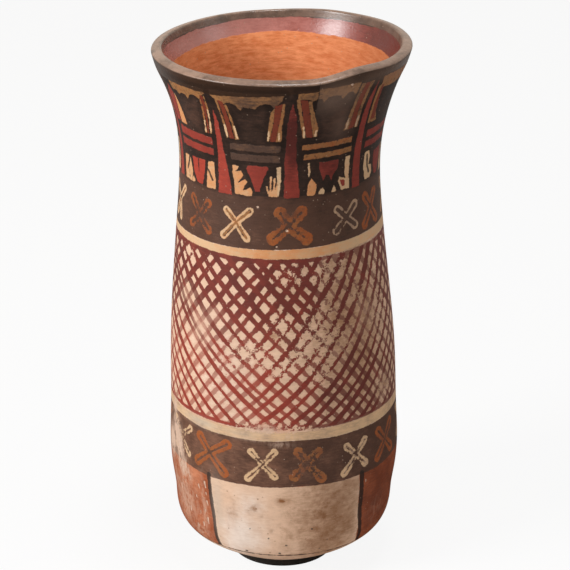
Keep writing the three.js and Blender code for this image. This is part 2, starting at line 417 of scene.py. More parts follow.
class Painting:
    """What is painted on one stretch of wall.

    A slip is held as how far inside its own edge each place lies, in millimetres, so it is
    positive where the slip covers the clay. A tone shifts a slip's colour, from -1 to 1.
    """

    def __init__(self, angle, height, within, crown):
        self.angle = angle
        self.height = height
        self.within = within
        self.arc = arc_per_degree(height)
        self.lowest, self.highest = height.min(), height.max()
        self.depth = {slip: np.full(angle.shape, -FAR) for slip in SLIPS}
        self.tone = {slip: np.zeros(angle.shape) for slip in TONED}
        self.field = {name: np.zeros(angle.shape) for name in FIELDS}
        self.field["within"] = within.astype(float)
        self.field["crown"] = crown

    def cover(self, slip, depth, tone=0.0, where=slice(None)):
        """Adds a stretch of slip. Where two stretches meet, the deeper one gives the tone."""
        held = self.depth[slip][where]
        if slip in self.tone:
            self.tone[slip][where] = np.where(depth > held, tone, self.tone[slip][where])
        self.depth[slip][where] = np.maximum(held, depth)

    def band(self, slip, low, high, tone=0.0):
        """A band of slip all round the outside."""
        depth = np.minimum(self.height - low, high - self.height)
        self.cover(slip, np.where(self.within, -FAR, depth), tone)

    def near(self, corners, margin=3.0):
        """The outside places round some corners, and both laid flat, in mm from the first."""
        corners = np.array(corners, float)
        lowest, highest = corners[:, 1].min() - margin, corners[:, 1].max() + margin
        if lowest > self.highest or highest < self.lowest:
            return None
        start = corners[0, 0]
        aside = turned_to(self.angle - start, -FULL_TURN / 2)
        turns = turned_to(corners[:, 0] - start, -FULL_TURN / 2)
        room = margin / arc_per_degree(corners[:, 1]).min()
        where = np.flatnonzero(
            (aside > turns.min() - room) & (aside < turns.max() + room)
            & (self.height > lowest) & (self.height < highest) & ~self.within
        )
        flat = np.stack([turns * arc_per_degree(corners[:, 1]), corners[:, 1]], -1)
        return where, aside[where] * self.arc[where], self.height[where], flat

    def shape(self, slip, corners, tone=0.0):
        """A closed shape with straight sides. Its depth is the distance to the nearest side."""
        found = self.near(corners)
        if found is None:
            return
        where, x, y, flat = found
        nearest = np.full(x.shape, np.inf)
        inner = np.zeros(x.shape, bool)
        for (ax, ay), (bx, by) in zip(flat, np.roll(flat, -1, axis=0)):
            nearest = np.minimum(nearest, to_segment(x, y, ax, ay, bx, by)[0])
            if ay != by:
                inner ^= ((ay > y) != (by > y)) & (x < (bx - ax) * (y - ay) / (by - ay) + ax)
        self.cover(slip, np.where(inner, nearest, -nearest), tone, where)

    def stroke(self, slip, points, half_width, tone=0.0, end_width=None):
        """A brush stroke through points, whose half width may change towards its end."""
        self.strokes(slip, [points], half_width, tone, end_width)

    def strokes(self, slip, paths, half_width, tone=0.0, end_width=None, core=0.0):
        """Strokes laid as one. A core leaves bare a thin line along the middle of them all."""
        found = self.near([point for path in paths for point in path])
        if found is None:
            return
        where, x, y, flat = found
        end_width = half_width if end_width is None else end_width
        depth = np.full(x.shape, -FAR)
        middle = np.full(x.shape, np.inf)
        start = 0
        for path in paths:
            bends = flat[start:start + len(path)]
            start += len(path)
            for i, ((ax, ay), (bx, by)) in enumerate(zip(bends, bends[1:])):
                away, way = to_segment(x, y, ax, ay, bx, by)
                share_on = (i + way) / (len(bends) - 1)
                depth = np.maximum(depth, half_width + (end_width - half_width) * share_on - away)
                middle = np.minimum(middle, away)
        if core > 0:
            depth = np.minimum(depth, middle - core)
        self.cover(slip, depth, tone, where)

    def dab(self, slip, angle, height, radius, long=DAB_LENGTH):
        """A round dab, drawn out by a part of a degree."""
        self.stroke(slip, [(angle, height), (angle + long, height)], radius)

    def spread(self, angle, height, wide, tall, lean=0.0):
        """A bell curve over a place's width and height, leaning by degrees for each mm up."""
        above = self.height - height
        aside = turned_to(self.angle - angle - lean * above, -FULL_TURN / 2)
        return bell(aside, wide) * bell(above, tall)

    def patches(self, name, places, turn=0):
        """Soft patches of wear or stain. Each has its place, width, height and strength."""
        for angle, height, wide, tall, strength, *lean in places:
            soft = strength * self.spread(angle + turn, height, wide, tall, *lean)
            self.field[name] = np.maximum(self.field[name], np.where(self.within, 0, soft))

    def tints(self, slip, places, turn=0):
        """Shifts the tone of a slip softly round some places, each by an amount."""
        for angle, height, wide, tall, amount in places:
            soft = self.spread(angle + turn, height, wide, tall)
            self.tone[slip] = self.tone[slip] + amount * soft


def to_segment(x, y, ax, ay, bx, by):
    """Distance from places to a straight segment, and how far along it they lie, 0 to 1."""
    ex, ey = bx - ax, by - ay
    way = np.clip(((x - ax) * ex + (y - ay) * ey) / max(ex * ex + ey * ey, LEAST_LENGTH), 0, 1)
    return np.hypot(x - ax - way * ex, y - ay - way * ey), way


# The panels near the base: one cream panel at the front and one at the back.
PANEL = [
    (-39.1, 51.9), (-38.4, 38), (-37.6, 25), (-36.8, 17.2), (0, 17.2), (44.6, 17.2), (43.1, 25),
    (41.8, 34), (40.4, 51.9),
]
PANEL_LINES = [
    ([(-40.0, 52.4), (-39.2, 36), (-38.4, 25), (-37.8, 18)], 1.05, 0.9),
    ([(41.9, 52.2), (42.8, 36), (44.2, 25), (45.6, 18)], 1.3, 1.0),
]
PANEL_BOTTOM, GROUND_OVERLAP = 16.8, 0.4
# A dark grey-ochre band along the foot of the panels, where the wall turns under: painted shade
# with dirt in it.
FOOT_SHADE_AND_DIRT, FOOT_SHADE_AND_DIRT_TONE = (16.5, 17.4), -0.8
RUBBED = [
    (-67, 60, 7, 13, 1.0, -0.5), (-63, 50, 5, 9, 0.85, -0.4), (-72, 73, 5, 6, 0.8),
    (-59, 50, 5, 7, 0.8, -0.6), (-76, 56, 9, 9, 0.95), (-9, 77.2, 8, 2.2, 0.75),
    (3, 74.5, 6, 1.4, 0.45), (-62, 34, 14, 16, 0.55), (-72, 36, 8, 14, 0.5),
    (-45, 34, 2.2, 18, 0.5), (-50, 22, 10, 5, 0.5), (58, 30, 9, 8, 0.2), (-2, 70.8, 6, 1.6, 0.5),
    (-15, 72.6, 12, 1.2, 0.4), (120, 55, 9, 12, 0.7, 0.7), (-150, 40, 12, 9, 0.5),
]
# Earth stains on the cream panels. The broad ones over the right half of each panel also darken it
# as painted shade.
PANEL_STAINS_AND_SHADE = [
    (24, 34, 17, 30, 0.95), (4, 30, 9, 16, 0.5), (36, 40, 9, 22, 0.6), (-27, 36, 4, 7, 0.5),
    (-0.8, 45.4, 2.2, 1.2, 1.6), (2.4, 45.6, 1.4, 0.9, 1.3), (11.5, 46, 1.5, 0.8, 1.0),
    (-15.5, 40.5, 3.2, 2.6, 0.8), (-12, 37, 1.6, 2, 0.6), (-5.9, 30, 1.6, 1.6, 0.6),
    (6, 30, 3, 1.6, 0.5), (17, 38, 5, 3, 0.35), (30, 24, 6, 4, 0.35), (2, 23.5, 6, 1.5, 0.4),
]
# Shifts of the cream ground's tone on the panels: painted sheen at the lower left, painted shade
# over the right half, and small changes of tone elsewhere.
PANEL_TINTS_AND_LIGHT = [
    (-23, 26, 13, 13, 0.9), (-16, 44, 9, 6, 0.35), (24, 32, 19, 34, -0.72), (38, 40, 8, 20, -0.1),
    (-33, 46, 5, 8, -0.35), (0, 46, 6, 4, -0.3),
]
PANEL_HAZE = [(-35.5, 37, 3.5, 14, 0.55), (-46, 74.5, 12, 2, 0.75), (-22, 74.5, 10, 1.8, 0.4)]
PANEL_SPECKS = [
    (-17.8, 30.4, 0.35), (14.5, 30.5, 0.4), (1.2, 23, 0.45), (23.3, 24.2, 0.4),
    (-20.5, 18.2, 0.6), (-2.2, 18.4, 0.4), (-8, 26.5, 0.3), (19.5, 19.6, 0.45),
]
# Shifts of the terracotta's tone: painted sheen on the left side, painted shade on the right side,
# and small changes of tone elsewhere.
TERRACOTTA_TINTS_AND_LIGHT = [
    (-58, 40, 18, 30, 0.5), (-50, 51, 5, 4, 0.4), (60, 38, 24, 30, -0.7), (130, 34, 14, 12, 0.4),
    (-120, 30, 20, 14, -0.4),
]
PANEL_CHIPS = [
    (-43.4, 46.6, 1.0), (-43, 37.5, 0.8), (-43.7, 28.7, 1.0), (-42.9, 42, 0.5), (-45, 33, 0.5),
    (44.9, 47.5, 0.45), (-58, 30, 0.7), (-66, 38, 0.8), (-52, 24, 0.6), (-48, 44, 0.7),
    (-51, 38, 0.6), (-47, 26, 0.6), (-55, 46, 0.6), (-61, 42, 0.5), (-49, 31, 0.5),
    (-57, 36, 0.5), (-64, 30, 0.6),
]
# A chip runs from a radius above its place to this many below it, leaning and narrowing. The
# clay falls away to its full depth between these depths inside its edge.
CHIP_DOWN, CHIP_LEAN, CHIP_WIDTH, CHIP_END_WIDTH = 1.6, 0.5, 0.5, 0.3
CHIP_SLOPE = (-0.3, 0.4)


def paint_panels(painting):
    """Terracotta round the foot of the wall, with a lined cream panel at the front and back."""
    painting.band("terracotta", PANEL_BOTTOM, PANEL_TOP + 1)
    painting.tints("terracotta", TERRACOTTA_TINTS_AND_LIGHT)
    painting.band("ground", -FAR, PANEL_BOTTOM + GROUND_OVERLAP)
    # Painted shade and dirt along the foot of the panels.
    painting.band("ochre", *FOOT_SHADE_AND_DIRT, tone=FOOT_SHADE_AND_DIRT_TONE)
    for turn in (0, FULL_TURN / 2):
        painting.shape("ground", moved(PANEL, turn))
        for points, half_width, end_width in PANEL_LINES:
            painting.stroke("line", moved(points, turn), half_width, end_width=end_width)
        painting.patches("stain", PANEL_STAINS_AND_SHADE, turn)
        painting.tints("ground", PANEL_TINTS_AND_LIGHT, turn)
        painting.patches("haze", PANEL_HAZE, turn)
        for angle, height, radius in PANEL_SPECKS:
            painting.dab("line", angle + turn, height, radius, SPECK_LENGTH)
        for angle, height, radius in PANEL_CHIPS:
            chip = [
                (angle + turn, height + radius),
                (angle + turn + CHIP_LEAN * radius, height - CHIP_DOWN * radius),
            ]
            painting.stroke("chip", chip, CHIP_WIDTH * radius, end_width=CHIP_END_WIDTH * radius)
    painting.patches("rub", RUBBED)


def moved(corners, turn):
    """The same corners, turned round the wall."""
    return [(angle + turn, height) for angle, height in corners]


# Crosses: where the arms meet, then the tips at upper left, upper right, lower left and lower
# right, then the slip, its tone, half widths at the middle and at the tips, half the width of
# the core of the arms, the slip and tone that fill the core, and how far the cross has faded.
BARE = (None, 0)
LOWER_CROSSES = [
    ((-63, 63), [(-69.5, 69), (-53.9, 68.7), (-68.5, 57), (-55, 57)],
     "cream", -0.2, 1.2, 1.7, 0.2, BARE, 0.35),
    ((-39.4, 62.3), [(-46, 68), (-29, 68.2), (-47.6, 56.4), (-30.6, 55)],
     "ochre", 0.8, 1.6, 2.35, 0.42, BARE, 0.15),
    ((-10.2, 61.7), [(-16.2, 67.1), (-4.6, 67.3), (-17.9, 54.9), (-4.4, 56.6)],
     "cream", -0.1, 1.25, 1.8, 0.16, BARE, 0.25),
    ((11.5, 62.3), [(7.4, 67.4), (17, 66.6), (5.2, 56.4), (18.8, 54.6)],
     "ochre", 0.6, 1.75, 2.35, 0.14, BARE, 0.85),
    ((38.4, 61.4), [(32.8, 66.2), (44.2, 66.6), (31, 54.6), (44.2, 56.2)],
     "cream", -0.3, 1.3, 1.9, 0.22, ("cream", -1), 0.1),
    ((61, 61.5), [(55, 67), (67.5, 67.5), (54, 55.5), (68, 55.5)],
     "ochre", 0.95, 1.6, 2.3, 0.4, BARE, 0.6),
]
UPPER_CROSSES = [
    ((-75, 164.5), [(-82, 170), (-68, 170.5), (-80, 158), (-72.6, 157.4)],
     "cream", 0.1, 1.3, 1.6, 0.3, ("ochre", 0.6), 0),
    ((-50.3, 163), [(-57, 169.2), (-44, 169.2), (-57.2, 158.6), (-43, 158.4)],
     "ochre", 0.9, 1.5, 2.1, 0.5, BARE, 0.85),
    ((-24.6, 164.3), [(-30.8, 168.8), (-16.6, 169.6), (-32.2, 158), (-18.4, 158.2)],
     "cream", 0.3, 1.35, 1.7, 0.55, ("ochre", 0.1), 0),
    ((5.2, 164), [(0.4, 169.4), (12, 169.4), (-3.8, 158.6), (14.8, 158.2)],
     "ochre", 0.75, 2.3, 2.75, 0.22, BARE, 0.6),
    ((39.8, 164), [(33.8, 168.2), (46.2, 168.4), (32.6, 159.4), (46, 159.8)],
     "cream", -0.6, 1.6, 1.95, 0.75, ("ochre", -0.9), 0.2),
    ((61.5, 164), [(56, 169.5), (66.5, 169.5), (54.5, 158), (67.5, 158)],
     "ochre", 0.95, 1.6, 2.2, 0.4, BARE, 0.5),
]
CROSS_FADES = [
    (6, 169, 7, 3.5, 0.95), (-54, 166, 5, 6, 1.0), (15, 67, 6, 4, 1.0), (42, 167, 6, 3, 0.5),
]
CROSS_WEAR = [
    (11.5, 61, 8, 7, 0.5), (-10, 61, 7, 6, 0.2), (-63, 63, 8, 7, 0.4), (-50, 163, 7, 6, 0.35),
    (35, 161, 5, 4, 0.25), (5, 164, 9, 6, 0.25), (38, 61, 7, 6, 0.15),
]
CORE_OVERLAP = 0.05
CROSS_FADE_SIZE = (11, 8)
# How many crosses go round a band, and the size and unevenness of those that aren't seen.
CROSSES_ROUND = 14
CROSS_WIDE, CROSS_TALL = 6.6, 6.2
CROSS_LIFT, CROSS_SPREAD, CROSS_RHYTHM = 0.8, 0.7, 2.3
# The cream lines, as lower and upper edges. The upper one rises to the right, by a share of the
# way across the wall, which has this radius there.
UPPER_LINE, LOWER_LINE = (150.0, 154.1), (72.3, 76.7)
UPPER_LINE_TILT, UPPER_LINE_RADIUS = 0.02, 44.1
LINE_WAVES = ((0.18, 5, 40), (0.12, 11, 0))
# Tones of the bands: the even part, what painted light adds on the left side and takes away
# towards the back right, and what the warm front adds.
LIT_SIDE, WARM_FRONT_WIDTH = -60, 30
LOWER_BROWN, UPPER_BROWN, FEATHER_BROWN = (0.15, 0.35), (-0.15, 0.2), -0.75
LOWER_CREAM, UPPER_CREAM = -0.25, (0.1, 0.7)


def paint_cross(painting, centre, tips, slip, tone, middle_width, tip_width, core, fill, faded):
    """Four strokes from the middle of a cross out to its tips."""
    paths = [[centre, tip] for tip in tips]
    painting.strokes(slip, paths, middle_width, tone, tip_width, core)
    core_slip, core_tone = fill
    if core_slip:
        painting.strokes(core_slip, paths, core + CORE_OVERLAP, core_tone)
    painting.patches("fade", [(*centre, *CROSS_FADE_SIZE, faded)])


def paint_cross_band(painting, crosses):
    """The crosses that the front shows, and plain ones that go on round the back.

    The plain ones take the slips and widths of the third and the fourth cross in turn.
    """
    for cross in crosses:
        paint_cross(painting, *cross)
    (first_angle, height), (last_angle, _) = crosses[0][0], crosses[-1][0]
    unseen = CROSSES_ROUND - len(crosses)
    step = (FULL_TURN + first_angle - last_angle) / (unseen + 1)
    for i in range(unseen):
        angle = last_angle + (i + 1) * step
        lift = CROSS_LIFT * math.sin(CROSS_RHYTHM * i)
        reach = {side: side * (CROSS_WIDE + CROSS_SPREAD * math.sin(i + side)) for side in (-1, 1)}
        tips = [
            (angle + reach[side], height + up * CROSS_TALL + lift)
            for up in (1, -1) for side in (-1, 1)
        ]
        paint_cross(painting, (angle, height + lift), tips, *crosses[i % 2 + 2][2:])


def paint_dark_bands(painting):
    """Brown grounds of the cross bands and of the feather band, and the cream lines."""
    angle = painting.angle
    tilt = UPPER_LINE_TILT * UPPER_LINE_RADIUS * np.sin(np.radians(angle))
    waver = wavering(angle, LINE_WAVES)
    # Painted light: the brown bands are made paler towards the left and darker towards the back
    # right.
    left = np.cos(np.radians(angle - LIT_SIDE))
    front = bell(turned_to(angle, -FULL_TURN / 2), WARM_FRONT_WIDTH)
    lower, upper = LOWER_LINE[0] + waver, UPPER_LINE[1] + tilt
    painting.band("brown", PANEL_TOP + waver, lower, LOWER_BROWN[0] + LOWER_BROWN[1] * left)
    painting.band("brown", upper, UPPER_CROSS_TOP + 1, UPPER_BROWN[0] + UPPER_BROWN[1] * left)
    painting.band("brown", UPPER_CROSS_TOP, COLLAR_TOP + FAR, FEATHER_BROWN)
    painting.band("ground", lower, upper)
    painting.band("cream", lower, LOWER_LINE[1] - waver, LOWER_CREAM)
    cream_tone = UPPER_CREAM[0] + UPPER_CREAM[1] * front
    painting.band("cream", UPPER_LINE[0] + tilt - waver, upper, cream_tone)
    paint_cross_band(painting, LOWER_CROSSES)
    paint_cross_band(painting, UPPER_CROSSES)
    painting.patches("fade", CROSS_FADES)
    painting.patches("wear", CROSS_WEAR)


# The net: two families of strokes that lean opposite ways. Some strokes of each family are set by
# the angles at which they cross five heights. The others are evenly spaced between these.
NET_MIDDLE = 113
NET_HEIGHTS = (78, 96, 113, 131, 150)
NET_BOTTOM, NET_TOP = 77.4, 149.6
NET_STROKES = 43


def closed(strokes):
    """A family of strokes with its first one added again as its last, a full turn on."""
    first = min(strokes)
    last = {first + NET_STROKES: tuple(crossing + FULL_TURN for crossing in strokes[first])}
    return strokes | last


FALLING = closed({
    -8: (-24.3, -48.6, -71.5, -95.8, -121.5),
    -6: (-3.8, -28, -51, -75.3, -101),
    -4: (9.7, -14.7, -37.6, -61.9, -87.6),
    0: (39, 18.4, -0.5, -24, -49.8),
    3: (58, 39.7, 22.6, 3.5, -20.5),
    6: (75, 58.5, 43.1, 23.8, 2.5),
    9: (97, 81, 65, 48.2, 28),
    11: (112, 97, 81, 63.4, 44),
})
RISING = closed({
    0: (-124.4, -106.4, -89.4, -71.4, -51),
    5: (-77.7, -59.7, -43.5, -25.3, -6),
    7: (-63.5, -45.5, -28.2, -11, 6.5),
    10: (-42, -22.5, -3.6, 12.4, 28.5),
    13: (-22, 0.5, 20.5, 36, 50.5),
    16: (1.5, 26, 45, 59.4, 71),
    19: (25, 49.9, 68, 82, 94),
})
NET_BORDERS = ((76.9, 78.6), (148.2, 150.3))
BORDER_OVERLAP = 0.5
NET_HALF_WIDTH = 0.96
# How much wider the strokes get, and the heights or angles between which they do.
WIDER_ABOVE, WIDER_RIGHT = (0.3, 108, 134), (0.1, -20, 40)
STROKE_SPREAD, STROKE_RHYTHM = 0.2, 2.4
SWAY, SWAY_LENGTH, SWAY_RHYTHM = 0.07, 7, 3
# The falling strokes are thin and weak between these angles, above these heights, by a share.
THIN_FROM, THIN_TO, THIN_ABOVE, THIN_LOSS = (14, 30), (58, 72), (98, 112), 0.25
# Where the net is faint, low down: on the left in the rising strokes, else in the falling ones.
FAINT_BELOW, FAINT_LEFT = (105, 128), (-24, -6)
FAINT_RISING, FAINT_FALLING = 0.36, 0.12
# Where the net has kept its red: round an angle, less so higher up, and more in some strokes.
FRESH_SIDE, FRESH_REACH, FRESH_LOSS = -40, (30, 75), (0.8, 96, 132)
FRESH_SPREAD, FRESH_RHYTHM, FRESH_EDGE = 0.16, 3.9, -0.3
NET_WEAR = [
    (19, 117, 7.5, 9, 1.0), (9, 110, 6, 4, 0.8), (25, 127, 6, 6, 0.7), (44, 132, 5, 5, 0.6),
    (-5, 77.6, 15, 2.2, 0.9), (28, 143, 12, 6, 0.42), (30, 116, 8, 8, 0.45),
    (62, 122, 12, 20, 0.3), (6, 143, 10, 5, 0.36), (-16, 110, 12, 6, 0.42),
    (-58, 146, 5, 3, 0.4), (150, 120, 14, 16, 0.8), (-130, 100, 10, 14, 0.6),
    (20, 101, 6, 5, 0.4), (61, 86, 7, 4, 0.6), (34, 145, 3.5, 3, 0.8), (-1, 122, 6, 8, 0.3),
    (-2, 104, 7, 4, 0.36), (-25, 105, 7, 4, 0.3),
]
NET_FADE = [
    (-46, 116, 7, 7, 0.95), (-58, 127, 9, 5, 0.6), (-38, 124, 6, 4, 0.5), (50, 121, 8, 9, 0.5),
    (200, 110, 12, 12, 0.6), (61, 86, 7, 5, 0.7), (-27, 104, 7, 4, 0.25),
]
NET_STAINS = [
    (-4.3, 118, 3.5, 2.2, 0.9), (34, 120, 22, 45, 0.5), (0, 134, 5, 8, 0.35),
    (60, 90, 20, 20, 0.4), (49, 123, 6, 8, 0.7), (61, 86, 7, 4, 0.8),
]
# Shifts of the net's cream ground: painted shade over the right side, painted light on the left,
# and small darker spots.
NET_TINTS_AND_LIGHT = [
    (42, 112, 30, 70, -0.62), (-30, 98, 26, 30, 0.4), (-4, 118, 5, 5, -0.4),
    (5, 138, 10, 12, -0.25),
]


def family_depth(painting, family, half_width):
    """How deep each place lies in the nearest stroke of a family, and how fresh that one is.

    A stroke that is set crosses each height at the angle of the cubic that fits its five
    crossings best. Count tells the strokes apart: it's whole on each, and grows evenly between.
    """
    above = painting.height - NET_MIDDLE
    curves = {
        number: np.polyfit(np.array(NET_HEIGHTS) - NET_MIDDLE, crossings, 3)
        for number, crossings in family.items()
    }
    numbers = list(curves)
    turn = turned_to(painting.angle - np.polyval(curves[numbers[0]], above), 0)
    turn = turn + np.polyval(curves[numbers[0]], above)
    count, pitch, lean = np.zeros(turn.shape), np.ones(turn.shape), np.ones(turn.shape)
    for first, last in zip(numbers, numbers[1:]):
        low, high = np.polyval(curves[first], above), np.polyval(curves[last], above)
        way = (turn - low) / (high - low)
        here = (way >= 0) & (way <= 1)
        slopes = [np.polyval(np.polyder(curves[number]), above) for number in (first, last)]
        count = np.where(here, first + (last - first) * way, count)
        pitch = np.where(here, (high - low) / (last - first), pitch)
        lean = np.where(here, slopes[0] + (slopes[1] - slopes[0]) * way, lean)
    sway = np.sin(painting.height / SWAY_LENGTH + SWAY_RHYTHM * np.round(count))
    count = count + SWAY * sway
    nearest = np.round(count)
    away = np.abs(count - nearest) * pitch / np.hypot(1 / painting.arc, lean)
    number = nearest % NET_STROKES
    half_width = half_width * (1 + STROKE_SPREAD * np.sin(STROKE_RHYTHM * number))
    return half_width - away, np.sin(FRESH_RHYTHM * number)


def paint_net(painting):
    """The maroon net between the two cream lines, with a border along each of them."""
    height, angle = painting.height, painting.angle
    outside_net = painting.within | (height < NET_BOTTOM - FAR) | (height > NET_TOP + FAR)
    if outside_net.all():
        return
    turn = turned_to(angle, -FULL_TURN / 2)
    half_width = NET_HALF_WIDTH + eased(height, *WIDER_ABOVE) + eased(angle, *WIDER_RIGHT)
    room = np.minimum(height - NET_BOTTOM, NET_TOP + BORDER_OVERLAP - height)
    thin = ease(turn, *THIN_FROM) * (1 - ease(turn, *THIN_TO)) * ease(height, *THIN_ABOVE)
    thin = THIN_LOSS * thin
    varied = np.zeros(angle.shape)
    for slip, family, width in (
        ("net_rise", RISING, half_width), ("net_fall", FALLING, half_width * (1 - thin)),
    ):
        depth, freshness = family_depth(painting, family, width)
        painting.cover(slip, np.where(outside_net, -FAR, np.minimum(depth, room)))
        varied = np.where(depth > FRESH_EDGE, freshness, varied)
    for border in NET_BORDERS:
        painting.band("net_fall", *border)
    low, left = 1 - ease(height, *FAINT_BELOW), 1 - ease(turn, *FAINT_LEFT)
    painting.field["fall_strength"] = 1 - FAINT_FALLING * low * (1 - left) - thin
    painting.field["rise_strength"] = 1 - FAINT_RISING * low * left
    fresh = 1 - ease(np.abs(turn - FRESH_SIDE), *FRESH_REACH)
    fresh = fresh * (1 - eased(height, *FRESH_LOSS)) + FRESH_SPREAD * varied
    painting.field["fresh"] = np.clip(fresh, 0, 1)
    painting.patches("wear", NET_WEAR)
    painting.patches("fade", NET_FADE)
    painting.patches("stain", NET_STAINS)
    painting.tints("ground", NET_TINTS_AND_LIGHT)


# The feather band: red wedges that stand up between cells of three designs. The corners are
# those of the cells at the front left, the front, the front right and the right side, and the
# others repeat the first three.
WEDGES = [
    ("red", 0.3, [(-76, 175.3), (-75.4, 190), (-73.6, 205), (-72.5, 214), (-71.5, 208),
        (-70.8, 190), (-69.8, 175.3)]),
    ("red", 0.5, [(-36.4, 175.3), (-36.1, 182), (-35.7, 195), (-35.3, 205), (-33.9, 212.5),
        (-32.6, 207), (-31.8, 194.5), (-30.2, 188.5), (-28.1, 180), (-27.3, 175.3)]),
    ("red", -0.15, [(2.3, 175.3), (2.3, 189.7), (2.9, 200), (3.2, 208), (5.2, 218), (7.6, 211),
        (8.5, 200), (8.8, 192), (10.4, 183.7), (10.9, 175.3)]),
]
THIRD_TURN = 120
RED_CELL = [
    ("ochre", 0.1, [(-61.5, 221), (-60.6, 216), (-59.8, 214.9), (-58.4, 216), (-56.6, 215.6),
        (-55.4, 213.7), (-54, 215.2), (-50.4, 215.4), (-48.9, 213.5), (-47.3, 215.6), (-44, 216.7),
        (-41.6, 216.2), (-40.6, 215.3), (-39.4, 217), (-36.2, 218.4), (-36, 221)]),
    ("cream", 0.85, [(-61.6, 214.2), (-63.8, 205), (-64.3, 200), (-57.8, 200), (-58.8, 205)]),
    ("red", 0.1, [(-64.4, 217), (-69.5, 212), (-70.2, 200), (-64.7, 200), (-64.3, 205),
        (-62.3, 213)]),
    ("ochre", 0.4, [(-40.3, 215.2), (-39.6, 215.6), (-40.2, 208), (-41.4, 200), (-42.8, 200),
        (-41.6, 208)]),
    ("sienna", 0, [(-39.5, 217.4), (-37.8, 217.6), (-37.9, 212), (-39.7, 200), (-41.2, 200),
        (-40.1, 208)]),
    ("ochre", 0.25, [(-37.4, 217.8), (-36.6, 217.9), (-36.6, 211), (-37.7, 200), (-39.3, 200),
        (-38, 209)]),
    ("red", 0.1, [(-66.8, 198.6), (-38.6, 198.4), (-38.6, 195), (-66.8, 194.9)]),
    ("red", 0.15, [(-66.8, 193.7), (-38.6, 193.5), (-38.6, 190.4), (-66.8, 190.4)]),
    ("cream", 0.55, [(-66.6, 186), (-62.8, 186.5), (-59.6, 185.6), (-57.7, 180), (-58.9, 175.9),
        (-66.6, 175.9)]),
    ("cream", 0.5, [(-57.4, 179), (-54.9, 175.9), (-58.2, 175.9)]),
    ("red", 0.9, [(-57.7, 187), (-45.6, 187.2), (-46.6, 181), (-48.4, 176.4), (-53.4, 176.4),
        (-56.6, 181)]),
    ("cream", 0.6, [(-43.1, 187.5), (-38.8, 187.5), (-38.3, 175.9), (-45.3, 175.9),
        (-44.4, 184)]),
]
RED_CELL_STROKES = [
    ("cream", 0.35, [(-41.3, 205.5), (-42.1, 200.6)], 0.45),
    ("cream", 0.35, [(-37.2, 211), (-38.5, 200.6)], 0.4),
]
RED_CELL_LINES = [
    ([(-60.6, 186.2), (-62, 183), (-63.9, 180.2)], 0.6), ([(-51.7, 187), (-51.6, 181)], 0.3),
    ([(-44.6, 184.4), (-42.6, 182.4), (-40.6, 179.8)], 0.6), ([(-62.2, 180), (-61.4, 177)], 0.4),
]
GREY_CELL = [
    ("ochre", -0.2, [(-33.4, 221.5), (-33, 218.6), (-31.4, 217.4), (-27.2, 215.4), (-25.4, 216.3),
        (-22.6, 216), (-20.6, 214.8), (-19, 213.3), (-17.6, 214.7), (-14, 214.9), (-12, 214.1),
        (-10.4, 216), (-7.4, 217.3), (-4.4, 216.8), (-3.3, 214.8), (-1.8, 216.2), (0.6, 218.6),
        (1.6, 222)]),
    ("ochre", 0.1, [(-31.3, 217.5), (-30.3, 217.5), (-28.7, 207), (-27.7, 199.6), (-29, 199.6),
        (-29.9, 208)]),
    ("sienna", 0, [(-29.9, 217.2), (-27.3, 216.6), (-25.8, 208), (-24.3, 199.8), (-27.3, 199.8),
        (-28.4, 208)]),
    ("ochre", 0.15, [(-26.9, 215.4), (-25.7, 215.2), (-23.6, 207), (-21.6, 199.6), (-23.9, 199.6),
        (-25.2, 207)]),
    ("ochre", 0.1, [(-4.9, 213), (-2.6, 216), (-3.5, 208), (-5.6, 199.8), (-7, 199.8),
        (-6, 207)]),
    ("sienna", 0, [(-2.7, 216.6), (0.8, 217.4), (-0.7, 208), (-2.4, 199.8), (-5.7, 199.8),
        (-3.6, 208)]),
    ("ochre", 0.3, [(0.7, 217.4), (2.1, 217.6), (1.1, 208), (0.5, 199.8), (-2.5, 199.8),
        (-0.8, 208)]),
    ("ochre", -1, [(-27.5, 198), (0.2, 198), (0.2, 194.9), (-27.5, 194.9)]),
    ("ochre", -1, [(-27.5, 193.6), (0.2, 193.6), (0.2, 190.5), (-27.5, 190.5)]),
    ("cream", 0.7, [(-26.8, 188.4), (-22.7, 188.2), (-23.6, 186.5), (-25, 185.9), (-21.6, 186.3),
        (-20.4, 184.5), (-22, 182.5), (-23.4, 181), (-19.5, 182.8), (-18.1, 181.6), (-19.9, 179.8),
        (-20.6, 178.1), (-16.2, 179.5), (-15, 177.7), (-15.3, 175.9), (-25.5, 175.9),
        (-26.3, 182.4), (-27, 185)]),
    ("red", 0.15, [(-18.6, 187.6), (-17.5, 189), (-7, 189), (-6.2, 187.6), (-8.6, 183.7),
        (-9.8, 181.4), (-11, 178.2), (-13.4, 177.9), (-16.2, 183)]),
    ("cream", 0.45, [(-6.6, 178.4), (-6.3, 175.9), (-0.8, 175.9), (-0.6, 178.6), (-1.9, 179.4),
        (-3.6, 178.8)]),
    ("cream", -0.1, [(-2.1, 188.8), (0.6, 188.8), (0.7, 182), (-0.4, 176.2), (-1.6, 176.4),
        (-1.5, 183)]),
]
GREY_CELL_STROKES = [
    ("cream", 0.45, [(-5.2, 178.4), (-4.9, 184.3)], 0.5),
    ("cream", 0.45, [(-3.3, 178.4), (-2.8, 183.8)], 0.45),
    ("cream", 0.45, [(-6.2, 177.4), (-7.1, 180.2)], 0.45),
    ("cream", 0.4, [(-1.8, 178.6), (-1.4, 182)], 0.45),
    ("cream", 0.1, [(-29, 205.5), (-28.3, 200.3)], 0.5),
    ("cream", 0.2, [(-23.8, 205.5), (-22.7, 200.2)], 0.5),
    ("cream", 0, [(-5.9, 204.5), (-6.3, 200.4)], 0.4),
    ("cream", 0, [(-0.8, 203.5), (-0.8, 200.4)], 0.4),
]
